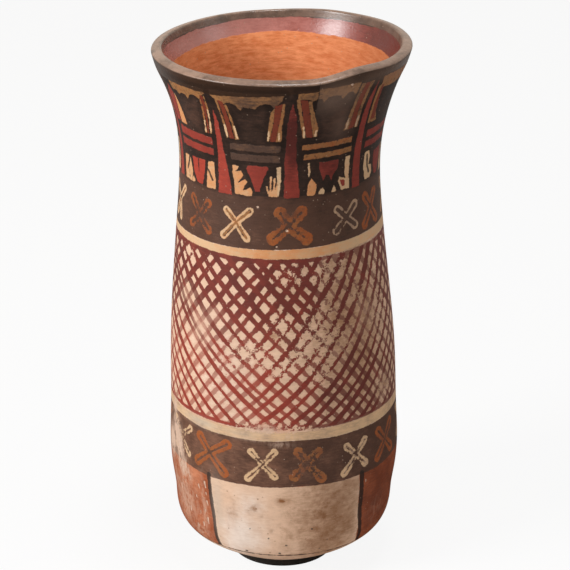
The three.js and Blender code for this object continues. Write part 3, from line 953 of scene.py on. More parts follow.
OCHRE_CELL = [
    ("ochre", 0, [(7, 223), (7.4, 219.6), (9, 219.3), (12.3, 218.9), (14.3, 217.9), (16.5, 219),
        (16.5, 223)]),
    ("ochre", -0.25, [(16.5, 224), (16.5, 219), (18, 218.7), (19.6, 216.5), (21.2, 219.2),
        (25, 219.7), (27.6, 218.9), (29.3, 216.9), (31, 219.4), (34, 219.7), (35.8, 217.6),
        (36.6, 219), (37.4, 224)]),
    ("ochre", 0.1, [(6.6, 219.4), (8.4, 219.4), (10.7, 210), (12.9, 201), (11.4, 201), (9, 210)]),
    ("sienna", 0, [(8.4, 219), (11.9, 218.8), (14.4, 210), (16.7, 201.3), (13.1, 201.3),
        (10.8, 210)]),
    ("ochre", 0.15, [(12, 218.6), (13.8, 218), (16.4, 211), (19.2, 205), (19, 201.3),
        (16.8, 201.3), (14.5, 209)]),
    ("ochre", -0.3, [(38, 222.5), (40.3, 222.5), (39, 218), (38.2, 210), (37.2, 202), (34.1, 202),
        (36, 210)]),
    ("sienna", 0, [(40.2, 222.5), (43.2, 222.5), (42.3, 218), (41.4, 210), (40.8, 202),
        (37.1, 202), (38.2, 210), (39, 218)]),
    ("ochre", -0.3, [(43, 222.5), (45.4, 222.5), (44.2, 218), (43.6, 210), (43.3, 202),
        (40.7, 202), (41.4, 210), (42.3, 218)]),
    ("ochre", 0.45, [(11.5, 198.1), (41, 198.4), (41, 195.9), (11.5, 195.7)]),
    ("ochre", 0.35, [(12.6, 193.8), (42.2, 193.9), (42.2, 191.5), (12.6, 191.4)]),
    ("cream", 0.1, [(15, 190), (16.1, 190), (17, 186), (16.4, 183.6), (15.6, 184)]),
    ("cream", 0.8, [(15.3, 180.5), (17.5, 183.2), (20.7, 180.5), (20.5, 178.2), (19.8, 175.9),
        (15.1, 175.9)]),
    ("red", -0.5, [(21.6, 189.7), (34.1, 189.7), (33.5, 186), (31, 183.4), (29.6, 180.4),
        (28, 183.3), (26, 184), (24.5, 181.4), (23, 184.6), (21.8, 186.6)]),
    ("cream", 0.1, [(21.6, 175.9), (22.5, 178.3), (24.6, 178.8), (25.7, 177), (25.3, 175.9)]),
    ("cream", 0.2, [(29.6, 176), (31.5, 178.8), (33.7, 176)]),
    ("cream", 0.15, [(38.4, 189.9), (41.7, 189.9), (42, 175.9), (36.2, 176), (34, 180),
        (34.6, 182), (38.9, 180.8), (38.2, 184.4)]),
    ("red", 0.3, [(34.8, 181), (38.8, 179.8), (39.2, 177.4), (36.8, 177.4)]),
]
OCHRE_CELL_STROKES = [
    ("cream", -0.2, [(11.4, 206), (12.1, 201.6)], 0.45),
    ("cream", -0.2, [(18.3, 204), (17.9, 201.8)], 0.5),
    ("cream", -0.6, [(36, 207), (35.6, 202.6)], 0.5),
    ("cream", -0.5, [(42.4, 207), (42, 202.6)], 0.5),
]
SIDE_WEDGE = ("red", -0.2, [
    (44.2, 175.3), (44.5, 190), (45.1, 203), (46.2, 214), (48.6, 222.6), (49.4, 214), (49.7, 200),
    (50.2, 188), (50.6, 175.3),
])
SIDE_CELL = [
    ("ochre", 0.3, [(51.5, 223), (52, 217.6), (57, 217), (64, 216.6), (72, 216.6), (80, 217.6),
        (81, 222)]),
    ("ochre", 0.05, [(50.6, 219), (52.6, 219), (54.6, 209), (59.4, 201.8), (51.3, 201.8),
        (50.8, 210)]),
    ("sienna", 0, [(52.6, 219), (54.4, 219), (55.6, 210), (57.2, 203), (53, 203), (52.4, 210)]),
    ("red", -0.2, [(53, 198.6), (79, 198.4), (79, 195.3), (53, 195.4)]),
    ("red", -0.2, [(53, 193.7), (79, 193.5), (79, 190.6), (53, 190.8)]),
    ("cream", 0.1, [(54.4, 188.6), (59.2, 188.8), (60.4, 186), (59.6, 182.6), (62.8, 182),
        (63.2, 179), (61.4, 176.6), (55.6, 176.6), (54, 182)]),
    ("red", -0.3, [(64.5, 187.4), (76, 187.4), (74.5, 181), (71, 176.6), (67, 176.8), (65, 181)]),
    ("cream", 0, [(77, 187.6), (80.6, 187.6), (80.8, 176), (75.6, 176), (76.4, 183)]),
]
SIDE_CELL_LINES = [
    ([(57, 187), (58, 182), (59.8, 179.4)], 0.7), ([(78.8, 187), (77.6, 181)], 0.5),
]
# A hairline at the front right, and the dark film beside it with the places where it's thick.
CRACK = [(16.5, 229), (16.5, 214), (16.3, 204)]
FILM = [(16.5, 229), (16.5, 214), (16.3, 198), (50, 198), (90, 214), (90, 229)]
VEILS = [(27, 219, 13, 8, 1.0), (60, 224, 30, 4, 0.8), (32, 205, 6, 8, 0.45)]
FEATHER_TINTS = {
    "red": [(6.5, 202, 8, 12, -1.1)],
    "ochre": [(-15, 217, 9, 4, -0.45), (-2, 217, 5, 4, -0.35), (12, 220, 8, 4, -0.35)],
    "brown": [(-50, 205, 12, 9, 0.3), (30, 206, 9, 9, 0.4)],
}
# How near a motif the ground of the feather band goes dark, in mm outside its edge.
OUTLINE_REACH = (-2.6, -1.2)
# The top of the lip is paler within these shares of its climb, and less so at the inner corner:
# worn slip, with painted sheen on the upward face.
# Round the lip the wear changes at some angles, over a width and by an amount.
CROWN_PALE_EDGE, INNER_CORNER_PALENESS = (0.1, 0.5), 0.4
LIP_WEAR = [(-5, 30, -0.4), (55, 35, -0.35), (19, 5, 0.35), (110, 20, -0.3)]


def paint_shapes(painting, shapes, turn):
    for slip, tone, corners in shapes:
        painting.shape(slip, moved(corners, turn), tone)


def paint_strokes(painting, strokes, turn):
    for slip, tone, points, half_width in strokes:
        painting.stroke(slip, moved(points, turn), half_width, tone)


def paint_lines(painting, lines, turn):
    for points, half_width in lines:
        painting.stroke("line", moved(points, turn), half_width)


def paint_feather_band(painting):
    """Wedges and cells round the neck and the collar. Three of each make a third of the turn.

    The second third begins at the right, where the wedge and the cell are their own.
    """
    for third in range(3):
        turn = third * THIRD_TURN
        if third == 1:
            paint_shapes(painting, WEDGES[1:], turn)
            paint_shapes(painting, [SIDE_WEDGE, *SIDE_CELL], 0)
            paint_lines(painting, SIDE_CELL_LINES, 0)
        else:
            paint_shapes(painting, WEDGES + RED_CELL, turn)
            paint_strokes(painting, RED_CELL_STROKES, turn)
            paint_lines(painting, RED_CELL_LINES, turn)
        paint_shapes(painting, GREY_CELL + OCHRE_CELL, turn)
        paint_strokes(painting, GREY_CELL_STROKES + OCHRE_CELL_STROKES, turn)
    nearest = np.maximum.reduce([painting.depth[slip] for slip in OUTLINED])
    above = ease(painting.height, UPPER_CROSS_TOP - 1, UPPER_CROSS_TOP)
    painting.field["outlined"] = ease(nearest, *OUTLINE_REACH) * above
    painting.shape("film", FILM)
    painting.patches("veil", VEILS)
    for slip, places in FEATHER_TINTS.items():
        painting.tints(slip, places)


# The lip: the lower edge of its slip outside, and the edges of the two bands inside the mouth.
RIM_EDGE = [
    (-180, 220.4), (-90, 219.8), (-70, 219.2), (-30, 219.2), (0, 221), (16.3, 222.1),
    (16.6, 223.2), (32, 223.2), (43, 223.5), (49, 223.9), (75, 222.4), (120, 221.6),
    (180, 220.4),
]
BURGUNDY_EDGE = [(-180, 217.8), (-130, 216.4), (-90, 215.6), (0, 216), (90, 217.4), (180, 217.8)]
# The height down to which the slip of the lip reaches inside the mouth.
LIP_OVERLAP = 223.3
RIM_WAVES = ((0.25, 4, 30), (0.15, 13, 0))
RIM_WAVER, BURGUNDY_WAVER = 0.4, 0.6
# Angles inside the mouth: where painted light makes the bare clay palest, and where the burgundy
# band carries its painted sheen.
LIT_CLAY_ANGLE, SHEEN_BURGUNDY_ANGLE = -155, -140
# The tone of the burgundy band: its even part, and how far the painted sheen lifts it towards one
# side, with painted shade on the other.
BURGUNDY_TONE, BURGUNDY_SHEEN = -0.56, 1.6
CRACK_WIDTH, CRACK_END_WIDTH = 0.18, 0.1
SMALL_CHIPS = [(32, 222.9, 0.55), (3.5, 162, 0.5), (-2, 155.3, 0.45), (-12.5, 171.6, 0.4)]


def paint_rim(painting):
    """Grey-brown slip over the lip, and a burgundy band below it inside the mouth."""
    angle = turned_to(painting.angle, -FULL_TURN / 2)
    waver = wavering(angle, RIM_WAVES)
    edge = np.interp(angle, *np.transpose(RIM_EDGE)) + RIM_WAVER * waver
    inner_edge = LIP_OVERLAP + rim_rise(angle) + waver
    painting.cover("rim", painting.height - np.where(painting.within, inner_edge, edge))
    burgundy = np.interp(angle, *np.transpose(BURGUNDY_EDGE)) + BURGUNDY_WAVER * waver
    burgundy = np.where(painting.within, painting.height - burgundy, -FAR)
    # Painted light on the inside: 1 where the inner clay is painted palest, falling to -1 on the
    # side painted in shade.
    painting.field["painted_light"] = np.cos(np.radians(angle - LIT_CLAY_ANGLE)) * painting.within
    # Painted sheen on the burgundy band: palest towards one side, with painted shade on the other.
    # The same side is also made glossier.
    sheen = np.cos(np.radians(angle - SHEEN_BURGUNDY_ANGLE)) * painting.within
    painting.field["sheen"] = sheen
    painting.cover("burgundy", burgundy, BURGUNDY_SHEEN * sheen + BURGUNDY_TONE)
    painting.stroke("line", CRACK, CRACK_WIDTH, end_width=CRACK_END_WIDTH)


def paint_wall(angle, height, within, crown):
    """Everything that is painted on a stretch of wall, with the chips and wear of its age."""
    painting = Painting(angle, height, within, crown)
    paint_panels(painting)
    paint_dark_bands(painting)
    paint_net(painting)
    paint_feather_band(painting)
    paint_rim(painting)
    for chip in SMALL_CHIPS:
        painting.dab("chip", *chip)
    return painting


# Meshes.


def turned_mesh(name, points, poles, attributes, sharp_rows=()):
    """A profile carried round the axis, as rows of points by columns of angles.

    Each face joins two rows and two columns, and the last column joins the first. With poles,
    the first and last rows are single points on the axis, where the faces are triangles.
    Without them the profile closes on itself. Sharp rows keep a hard edge.
    """
    rows, columns = points.shape[:2]
    index = np.arange(rows * columns).reshape(rows, columns)
    if poles:
        index[0] = index[0, 0]
        index[-1] = index[-1, 0]
    kept, index = np.unique(index, return_inverse=True)
    index = index.reshape(rows, columns)
    beside = np.roll(index, -1, axis=1)
    above, above_beside = np.roll(index, -1, axis=0), np.roll(beside, -1, axis=0)
    quads = np.stack([index, beside, above_beside, above], -1)
    if poles:
        bottom = quads[0][:, [0, 2, 3]]
        top = quads[-2][:, [0, 1, 2]]
        faces = quads[1:-2].reshape(-1, 4).tolist() + bottom.tolist() + top.tolist()
    else:
        faces = quads.reshape(-1, 4).tolist()
    mesh = bpy.data.meshes.new(name)
    mesh.from_pydata(points.reshape(-1, 3)[kept] * MM, [], faces)
    mesh.polygons.foreach_set("use_smooth", np.ones(len(faces), bool))
    if sharp_rows:
        mark_sharp(mesh, kept // columns, sharp_rows)
    for attribute, values in attributes.items():
        layer = mesh.attributes.new(attribute, "FLOAT", "POINT")
        layer.data.foreach_set("value", values.ravel()[kept].astype(np.float32))
    mesh.update()
    return mesh


def mark_sharp(mesh, row_of_vertex, sharp_rows):
    """Marks the edges that lie along one of the sharp rows."""
    ends = np.zeros(len(mesh.edges) * 2, np.int32)
    mesh.edges.foreach_get("vertices", ends)
    first, second = row_of_vertex[ends.reshape(-1, 2)].T
    sharp = (first == second) & np.isin(first, sharp_rows)
    layer = mesh.attributes.new("sharp_edge", "BOOLEAN", "EDGE")
    layer.data.foreach_set("value", sharp)


def place_piece(name, mesh, material, body, node):
    """Puts a finished mesh in the scene, in place of its plain node."""
    piece = bpy.data.objects.new(name, mesh)
    mesh.materials.append(material)
    bpy.context.scene.collection.objects.link(piece)
    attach(piece, body)
    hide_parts(node)


def course_profile(bottom, top, settings):
    """One course of clay: up its outside, over its top, down its inside, and along its bottom.

    Gives the points, the first row that faces inwards and the one after the last, and the rows
    with hard corners.
    """
    outer_row, inner_row = settings.outer_row / MM, settings.inner_row / MM
    has_base, has_lip = bottom is None, top is None
    outer_from = 0.0 if has_base else place_at(outside, bottom)
    inner_from = 0.0 if has_base else place_at(inside, bottom + JOINT_RISE)
    outer_to = WALL.length if has_lip else place_at(outside, top)
    inner_to = WALL.length if has_lip else place_at(inside, top + JOINT_RISE)
    outer = side_rows(outside, outer_from, outer_to, outer_row)
    inner = side_rows(inside, inner_to, inner_from, outer_row if has_lip else inner_row)
    over = crown_rows() if has_lip else joint_rows(outer[-1], inner[0])
    parts = [outer, over, inner]
    if has_base:
        outer[0, 0] = 0
        inner[-1, 0] = 0
    else:
        parts.append(joint_rows(inner[-1], outer[0]))
    first_inner = len(outer) + len(over)
    last_inner = first_inner + len(inner) - 1
    corners = [] if has_lip else [len(outer) - 1, first_inner]
    corners += [] if has_base else [0, last_inner]
    within_from = len(outer) + len(over) * 3 // 4 if has_lip else len(outer) + len(over) // 2
    return np.concatenate(parts), (within_from, last_inner + 1), corners


def crown_wear_and_sheen(angle, within_from):
    """How far the lip's slip is paled by wear and painted sheen: most on top, and evenly down the
    inside from its corner.
    """
    worn = np.zeros(angle.shape)
    first = within_from - (CROWN_ROWS - 1) * 3 // 4
    crest, last = first + CROWN_ROWS // 2, first + CROWN_ROWS - 1
    climb = np.sin(np.linspace(0, np.pi, CROWN_ROWS + 1))[1:-1, None]
    worn[first:last] = ease(climb, *CROWN_PALE_EDGE)
    worn[crest:last] = np.linspace(1, INNER_CORNER_PALENESS, last - crest)[:, None]
    worn[last:] = INNER_CORNER_PALENESS
    return worn * (1 + sum(
        amount * bell(turned_to(angle - place, -FULL_TURN / 2), wide)
        for place, wide, amount in LIP_WEAR
    ))


def course_mesh(name, bottom, top, settings):
    """Turns a course, and leaves it as uneven and as painted as the hand did.

    A point of the profile goes out along its angle. The wall bows sideways as a sine of its
    height, its radius takes the swells less the inset, and near the mouth its height takes the
    rise of the rim.
    """
    profile, (within_from, within_to), corners = course_profile(bottom, top, settings)
    angle = np.arange(settings.columns) * FULL_TURN / settings.columns - FULL_TURN / 2
    radius, height = profile[:, :1], profile[:, 1:]
    hand = settings.unevenness * swell(angle, height) - settings.inset
    radius = radius + hand / MM * ease(radius, *SWELLS_BEGIN)
    shown_height = height + rim_rise(angle) * ease(height, *RIM_WAVE_HEIGHTS)
    shape = shown_height.shape
    angle = np.broadcast_to(angle, shape)
    within = np.zeros(shape, bool)
    within[within_from:within_to] = True
    crown = crown_wear_and_sheen(angle, within_from) if top is None else np.zeros(shape)
    painting = paint_wall(angle.ravel(), shown_height.ravel(), within.ravel(), crown.ravel())
    chips = painting.depth["chip"].reshape(shape)
    radius = radius - settings.chip_depth / MM * ease(chips, *CHIP_SLOPE)
    turn = np.radians(angle)
    points = np.stack([
        radius * np.sin(turn) + BOW * np.sin(2 * np.pi * height / BOW_LENGTH),
        -radius * np.cos(turn),
        shown_height,
    ], -1)
    tones = {slip + "_tone": tone for slip, tone in painting.tone.items()}
    attributes = {**painting.depth, **tones, **painting.field}
    return turned_mesh(name, points, bottom is None, attributes, corners)


def ring_mesh(columns):
    """The ring: its edges are quarter circles, and its top follows the underside of the base."""
    outer, inner = RING_OUTER_RADIUS - RING_EDGE, RING_INNER_RADIUS + RING_EDGE
    radii = np.linspace(outer, inner, RING_SEAT_ROWS)
    under = WALL.point(PLACES[: len(PLACES) // 3])
    seat = np.interp(radii, under[:, 0], under[:, 1]) - RING_CLEARANCE
    outer_top, inner_top = seat[0] - RING_EDGE, seat[-1] - RING_EDGE
    quarter = np.linspace(0, np.pi / 2, RING_EDGE_ROWS)[1:-1, None]
    edge = RING_EDGE * np.concatenate([np.sin(quarter), -np.cos(quarter)], 1)
    foot = np.linspace(inner, outer, RING_FOOT_ROWS)
    side = np.linspace(RING_EDGE, outer_top, RING_SIDE_ROWS)
    bore = np.linspace(inner_top, RING_EDGE, RING_BORE_ROWS)
    profile = np.concatenate([
        np.stack([foot, np.zeros(foot.shape)], -1),
        edge + (outer, RING_EDGE),
        np.stack([np.full(side.shape, RING_OUTER_RADIUS), side], -1),
        edge[::-1] * (1, -1) + (outer, outer_top),
        np.stack([radii, seat], -1),
        edge * (-1, -1) + (inner, inner_top),
        np.stack([np.full(bore.shape, RING_INNER_RADIUS), bore], -1),
        edge[::-1] * (-1, 1) + (inner, RING_EDGE),
    ])
    turn = np.arange(columns) * 2 * np.pi / columns
    radius, height = profile[:, :1], profile[:, 1:]
    points = np.stack([
        radius * np.sin(turn), -radius * np.cos(turn), height + 0 * turn,
    ], -1)
    return turned_mesh("support_ring", points, False, {})


# Finishes.

COAT_ROUGHNESS = 0.24
RING_DUST = rgb(120, 104, 92)


class Signal:
    """A number that varies over a surface. Its operators add the Math nodes that work it out."""

    def __init__(self, finish, socket):
        self.finish = finish
        self.socket = socket

    def maths(self, operation, *values):
        sockets = dict(enumerate(values))
        node = self.finish.node("ShaderNodeMath", {"operation": operation}, sockets)
        return Signal(self.finish, node.outputs[0])

    def __add__(self, other):
        return self.maths("ADD", self, other)

    def __sub__(self, other):
        return self.maths("SUBTRACT", self, other)

    def __rsub__(self, other):
        return self.maths("SUBTRACT", other, self)

    def __mul__(self, other):
        return self.maths("MULTIPLY", self, other)

    def __neg__(self):
        return self.maths("MULTIPLY", self, -1)

    __radd__ = __add__
    __rmul__ = __mul__

    def most(self, other):
        return self.maths("MAXIMUM", self, other)

    def ease(self, low, high):
        """0 at low and 1 at high, with an easy start and end."""
        node = self.finish.node(
            "ShaderNodeMapRange", {"interpolation_type": "SMOOTHSTEP"},
            {"Value": self, "From Min": low, "From Max": high},
        )
        return Signal(self.finish, node.outputs["Result"])


class Finish:
    """One material, built up node by node."""

    def __init__(self, name):
        self.material = bpy.data.materials.new(name)
        self.material.use_nodes = True
        self.tree = self.material.node_tree
        self.tree.nodes.clear()
        self.read = {}
        self.place = self.node("ShaderNodeTexCoord").outputs["Object"]

    def node(self, kind, settings=None, values=None):
        """Adds a node, with its settings first and then the values or links of its sockets."""
        node = self.tree.nodes.new(kind)
        for name, value in (settings or {}).items():
            setattr(node, name, value)
        for key, value in (values or {}).items():
            if isinstance(value, Signal):
                value = value.socket
            if isinstance(value, bpy.types.NodeSocket):
                self.tree.links.new(value, node.inputs[key])
            else:
                node.inputs[key].default_value = value
        return node

    def attribute(self, name):
        if name not in self.read:
            node = self.node("ShaderNodeAttribute", {"attribute_name": name})
            self.read[name] = Signal(self, node.outputs["Fac"])
        return self.read[name]

    def noise(self, size, stretch=(1, 1, 1), detail=2.0, roughness=0.5):
        """Cloudy noise between 0 and 1, with features of a size in mm, stretched on each axis."""
        scale = [1 / (size * MM * part) for part in stretch]
        place = self.node(
            "ShaderNodeVectorMath", {"operation": "MULTIPLY"}, {0: self.place, 1: scale},
        ).outputs[0]
        node = self.node(
            "ShaderNodeTexNoise", None,
            {"Vector": place, "Scale": 1.0, "Detail": detail, "Roughness": roughness},
        )
        return Signal(self, node.outputs["Fac"])

    def spots(self, size, radius):
        """Round spots, 1 at the middle and 0 outside a radius, one in each cell of a size."""
        node = self.node(
            "ShaderNodeTexVoronoi", None, {"Vector": self.place, "Scale": 1 / (size * MM)},
        )
        return 1 - Signal(self, node.outputs["Distance"]).ease(0.5 * radius / size, radius / size)

    def blend(self, share_of_second, first, second):
        """A colour between two others."""
        node = self.node(
            "ShaderNodeMix", {"data_type": "RGBA"},
            {0: share_of_second, 6: with_alpha(first), 7: with_alpha(second)},
        )
        return node.outputs[2]

    def shaded(self, shade, value):
        """A colour made darker or lighter by a number."""
        if not isinstance(shade, bpy.types.NodeSocket):
            shade = tuple(shade)
        node = self.node(
            "ShaderNodeVectorMath", {"operation": "SCALE"}, {0: shade, "Scale": value},
        )
        return node.outputs[0]

    def surface(self, base_colour, roughness, height, coat=0.0):
        """Ends the material with a surface whose bumps are height, in mm."""
        bump = self.node(
            "ShaderNodeBump", None, {"Strength": 1.0, "Distance": MM, "Height": height},
        )
        values = {
            "Base Color": base_colour, "Roughness": roughness, "Normal": bump.outputs[0],
            "Coat Weight": coat, "Coat Roughness": COAT_ROUGHNESS,
        }
        shader = self.node("ShaderNodeBsdfPrincipled", None, values)
        self.node("ShaderNodeOutputMaterial", None, {"Surface": shader.outputs[0]})
        return self.material


def with_alpha(shade):
    return shade if isinstance(shade, bpy.types.NodeSocket) else (*shade, 1.0)


# Clouds, brush marks and grain of the clay. Each has the size of its features in mm, how far they
# are drawn out along each axis, and the detail and roughness of the noise.
CLOUDS = {
    "broad": (26, (1, 1, 1), 3),
    "mottle": (7, (1, 1, 1), 4, 0.6),
    "soft": (2.6,),
    "fine": (1.1, (1, 1, 1), 3, 0.6),
    "grain": (0.45,),
    "brushed": (3.2, (1, 1, 0.22), 3, 0.65),
    "flakes": (1.5, (1, 1, 1), 5, 0.72),
    "wiped": (5, (1, 1, 0.25), 5, 0.66),
    "streaks": (1.5, (1, 1, 2.6), 5, 0.72),
    "blotch": (4.2, (1, 1, 1), 4, 0.66),
    "patchy": (9,),
}
# Sizes and radii of the spots of dust and of the pits, in mm.
DUST_SPOTS, PIT_SPOTS = (2.3, 0.3), (3.1, 0.5)
# The amounts of cloud between which something shows.
MOTTLE_SHOWN, FLAKES_SHOWN, SPECKS_SHOWN = (0.34, 0.6), (0.44, 0.6), (0.5, 0.66)
BLOTCH_SHOWN, PATCHY_SHOWN, STREAKS_SHOWN = (0.42, 0.68), (0.42, 0.62), (0.45, 0.61)
WIPED_SHOWN, BLED_SHOWN, SOFT_SHOWN = (0.2, 0.76), (0.4, 0.7), (0.4, 0.6)
# How far an edge is soft, and how far red bleeds from a stroke of the net, in mm.
SLIP_EDGE, BLEEDING = 0.14, (-1.4, 0.4)
# How much a brushed edge wanders finely, and how much the edges of the net wander.
FINE_WANDER, NET_WANDER = 0.45, 0.55
# Wear and stain that are everywhere.
LEAST_WEAR, LEAST_STAIN = 0.05, 0.14
# How far the brush marks, clouds and outlines change a colour.
BRUSH_SHADE, MOTTLE_SHADE, BROAD_SHADE, OUTLINE_SHADE = 0.24, 0.16, 0.16, 0.3
# Gloss of the bands at the mouth, and what it gains on the side with the painted sheen.
GLOSS, SHEEN_GLOSS, COAT, SHEEN_COAT = 0.17, 0.1, 0.3, 0.3
# Heights of the brush marks and depths of chips, rubbing and spots, in mm.
BRUSH_RISE, CHIP_SINK, RUB_SINK, SPOT_SINK = 0.08, 0.16, 0.1, 0.06
HAZE = rgb(196, 186, 172)


class PaintedClay(Finish):
    """Burnished clay under its slips, laid on in the order in which they were painted.

    A slip shows where its depth, moved by the wander of the brush and cut back by flaking, is
    above zero. Its tone is moved by the same clouds and brush marks that streak its colour.
    """

    def __init__(self, name, colours, wear):
        super().__init__(name)
        self.colours, self.wear = colours, wear
        read = self.attribute
        self.cloud = {kind: self.noise(*measures) for kind, measures in CLOUDS.items()}
        mottle, fine = self.cloud["mottle"], self.cloud["fine"]
        flakes, brushed = self.cloud["flakes"], self.cloud["brushed"]
        patchy = self.cloud["patchy"].ease(*PATCHY_SHOWN)
        self.dust = self.spots(*DUST_SPOTS) * patchy
        self.pits = self.spots(*PIT_SPOTS) * (1 - patchy)
        wander = wear.wander / MM
        self.edge = (self.cloud["soft"] - 0.5) * wander + (fine - 0.5) * (FINE_WANDER * wander)
        self.loss = (read("wear") + LEAST_WEAR) * flakes.ease(*FLAKES_SHOWN) * (wear.flake / MM)
        self.speckled = flakes.ease(*SPECKS_SHOWN)
        self.mottled = mottle.ease(*MOTTLE_SHOWN)
        self.thin = read("fade") * (0.35 + 0.65 * self.mottled)
        self.uneven = (mottle - 0.5) * 1.3 + (brushed - 0.5) * 0.9

    def covered(self, slip, worn=False):
        """Where a slip lies. The strokes of the net wander less, and worn slips have flaked."""
        edge = NET_WANDER * self.edge if slip.startswith("net") else self.edge
        depth = self.attribute(slip) + edge
        return (depth - self.loss if worn else depth).ease(-SLIP_EDGE, SLIP_EDGE)

    def toned(self, slip):
        """The colour of a slip, between its low, middle and high colours."""
        *names, swing = TONED[slip]
        low, middle, high = (getattr(self.colours, name) for name in names)
        # A slip's tone also holds the painted light and shade that the tints and the sides add.
        tone = self.attribute(slip + "_tone") + swing * self.uneven
        raised = self.blend(tone.ease(0, 1), middle, high)
        return self.blend((-tone).ease(0, 1), raised, low)

    def bare_clay(self):
        """Plain clay outside. Inside it's wiped in streaks, with painted light that makes it paler
        to one side and darker to the other.
        """
        painted_light = self.attribute("painted_light")
        wiped = self.cloud["wiped"].ease(*WIPED_SHOWN) * (0.68 + 0.42 * painted_light)
        inner = self.blend(wiped, self.colours.dark_clay, self.colours.inner_clay)
        inner = self.shaded(inner, 0.74 + 0.4 * painted_light)
        return self.blend(self.attribute("within"), self.colours.clay, inner)

    def pale_rim(self):
        # The top of the lip is paled towards the pale lip colour: worn slip and painted sheen
        # together.
        worn = 0.3 + 0.7 * self.mottled + 0.3 * self.cloud["soft"].ease(*SOFT_SHOWN)
        return self.blend(self.attribute("crown") * worn, self.colours.rim, self.colours.pale_rim)

    def coats(self):
        """The slips in order, each with its colour, how much it hides, and whether it flakes."""
        read, speckled, thin = self.attribute, self.speckled, self.thin
        freshness = read("fresh") + 0.7 * self.uneven
        net = self.blend(freshness, self.colours.net, self.colours.fresh_net)
        return [
            ("terracotta", self.toned("terracotta"), 1.0, False),
            ("ground", self.toned("ground"), 1.0, False),
            ("burgundy", self.toned("burgundy"), 1.0, False),
            ("brown", self.toned("brown"), 1.0, False),
            ("ochre", self.toned("ochre"), (1 - 0.55 * speckled) * (1 - 0.92 * thin), True),
            ("cream", self.toned("cream"), (1 - 0.16 * speckled) * (1 - 0.6 * thin), True),
            ("red", self.toned("red"), 1 - 0.6 * thin, True),
            ("sienna", self.colours.sienna, 1 - 0.3 * speckled, True),
            ("net_rise", net, read("rise_strength") * (1 - 0.8 * thin), True),
            ("net_fall", net, read("fall_strength") * (1 - 0.8 * thin), True),
            ("rim", self.pale_rim(), 1.0, False),
            ("line", self.colours.line, 0.9, True),
        ]

    def bled(self):
        """How much red has bled from the net into the ground beside it."""
        read, mottle = self.attribute, self.cloud["mottle"]
        near = read("net_fall").most(read("net_rise")).ease(*BLEEDING)
        return near * read("fresh") * (0.1 + 0.8 * mottle.ease(*BLED_SHOWN))

    def painted(self):
        """The clay with all its coats, and where the painted motifs lie."""
        shade, motifs = self.bare_clay(), None
        streaks = 0.8 + BRUSH_SHADE * self.cloud["brushed"] + MOTTLE_SHADE * self.cloud["mottle"]
        for slip, slip_colour, strength, worn in self.coats():
            mask = self.covered(slip, worn)
            if slip == "net_rise":
                shade = self.blend(self.bled(), shade, self.colours.wash)
            shade = self.blend(mask * strength, shade, self.shaded(slip_colour, streaks))
            if worn:
                motifs = mask if motifs is None else motifs.most(mask)
        outlined = self.attribute("outlined") * (1 - motifs)
        return self.shaded(shade, 1 - OUTLINE_SHADE * outlined), motifs

    def rubbed(self):
        """Where rubbing has worn through the slip, in upright streaks."""
        rub = self.attribute("rub")
        streaks = (self.cloud["streaks"] + 0.16 * rub).ease(*STREAKS_SHOWN)
        return rub * (0.25 + rub + 0.4 * self.cloud["mottle"]) * streaks

    def aged(self, shade, motifs, rubbed, chips):
        """Earth in the pale ground, rubbing, a dark film, haze, chips and dust, in this order."""
        read, colours, mottle = self.attribute, self.colours, self.cloud["mottle"]
        pale = self.covered("ground") * (1 - self.covered("brown")) * (1 - motifs)
        blotch = self.cloud["blotch"].ease(*BLOTCH_SHOWN)
        stain = (read("stain") + LEAST_STAIN) * (0.4 + 0.7 * blotch + 0.12 * self.speckled) * pale
        film = self.covered("film", True) * read("veil") * (0.34 + 0.3 * mottle)
        for amount, laid in (
            (0.75 * stain, colours.stain),
            (0.6 * self.pits * pale, colours.stain),
            (rubbed, colours.clay),
            (film * (1 - 0.8 * read("crown")), colours.pale_rim),
            (read("haze") * (0.4 + 0.8 * mottle), HAZE),
            (chips, colours.clay),
            (0.75 * self.dust, colours.dust),
        ):
            shade = self.blend(amount, shade, laid)
        return self.shaded(shade, 1 - BROAD_SHADE / 2 + BROAD_SHADE * self.cloud["broad"])

    def finished(self):
        """The whole material. The bands at the mouth are glossy, and the clay inside is dull."""
        wear, cloud = self.wear, self.cloud
        shade, motifs = self.painted()
        rubbed, chips = self.rubbed(), self.covered("chip")
        shade = self.aged(shade, motifs, rubbed, chips)
        # The side with the painted sheen is also given less roughness and more coat.
        sheen = self.attribute("sheen")
        glossy = self.covered("burgundy").most(self.covered("rim"))
        bare = self.attribute("within") * (1 - glossy)
        roughness = wear.polish + 0.2 * cloud["mottle"] + 0.12 * cloud["fine"] + 0.1 * self.loss
        roughness = roughness - (GLOSS + SHEEN_GLOSS * sheen) * glossy
        roughness = roughness + (wear.dull - wear.polish) * bare
        grain = (cloud["grain"] + 1.4 * cloud["fine"]) * (wear.grain / MM)
        height = motifs * (wear.relief / MM) + grain
        height = height + BRUSH_RISE * cloud["brushed"] + BRUSH_RISE * cloud["wiped"] * bare
        height = height - CHIP_SINK * chips - RUB_SINK * rubbed
        height = height - SPOT_SINK * (self.dust + self.pits)
        return self.surface(shade, roughness, height, (COAT + SHEEN_COAT * sheen) * glossy)


def moulded_rubber(name, colours):
    """Matt black-brown rubber with a fine moulded grain and dust that has settled in it."""
    finish = Finish(name)
    grain = finish.noise(0.5, detail=3)
    patches = finish.noise(6, detail=3)
    dusted = patches.ease(0.5, 0.75) * grain.ease(0.4, 0.7)
    shade = finish.shaded(colours.ring, 0.8 + 0.4 * patches)
    shade = finish.blend(0.2 * dusted, shade, RING_DUST)
    return finish.surface(shade, 0.5 + 0.2 * patches, 0.06 * grain)


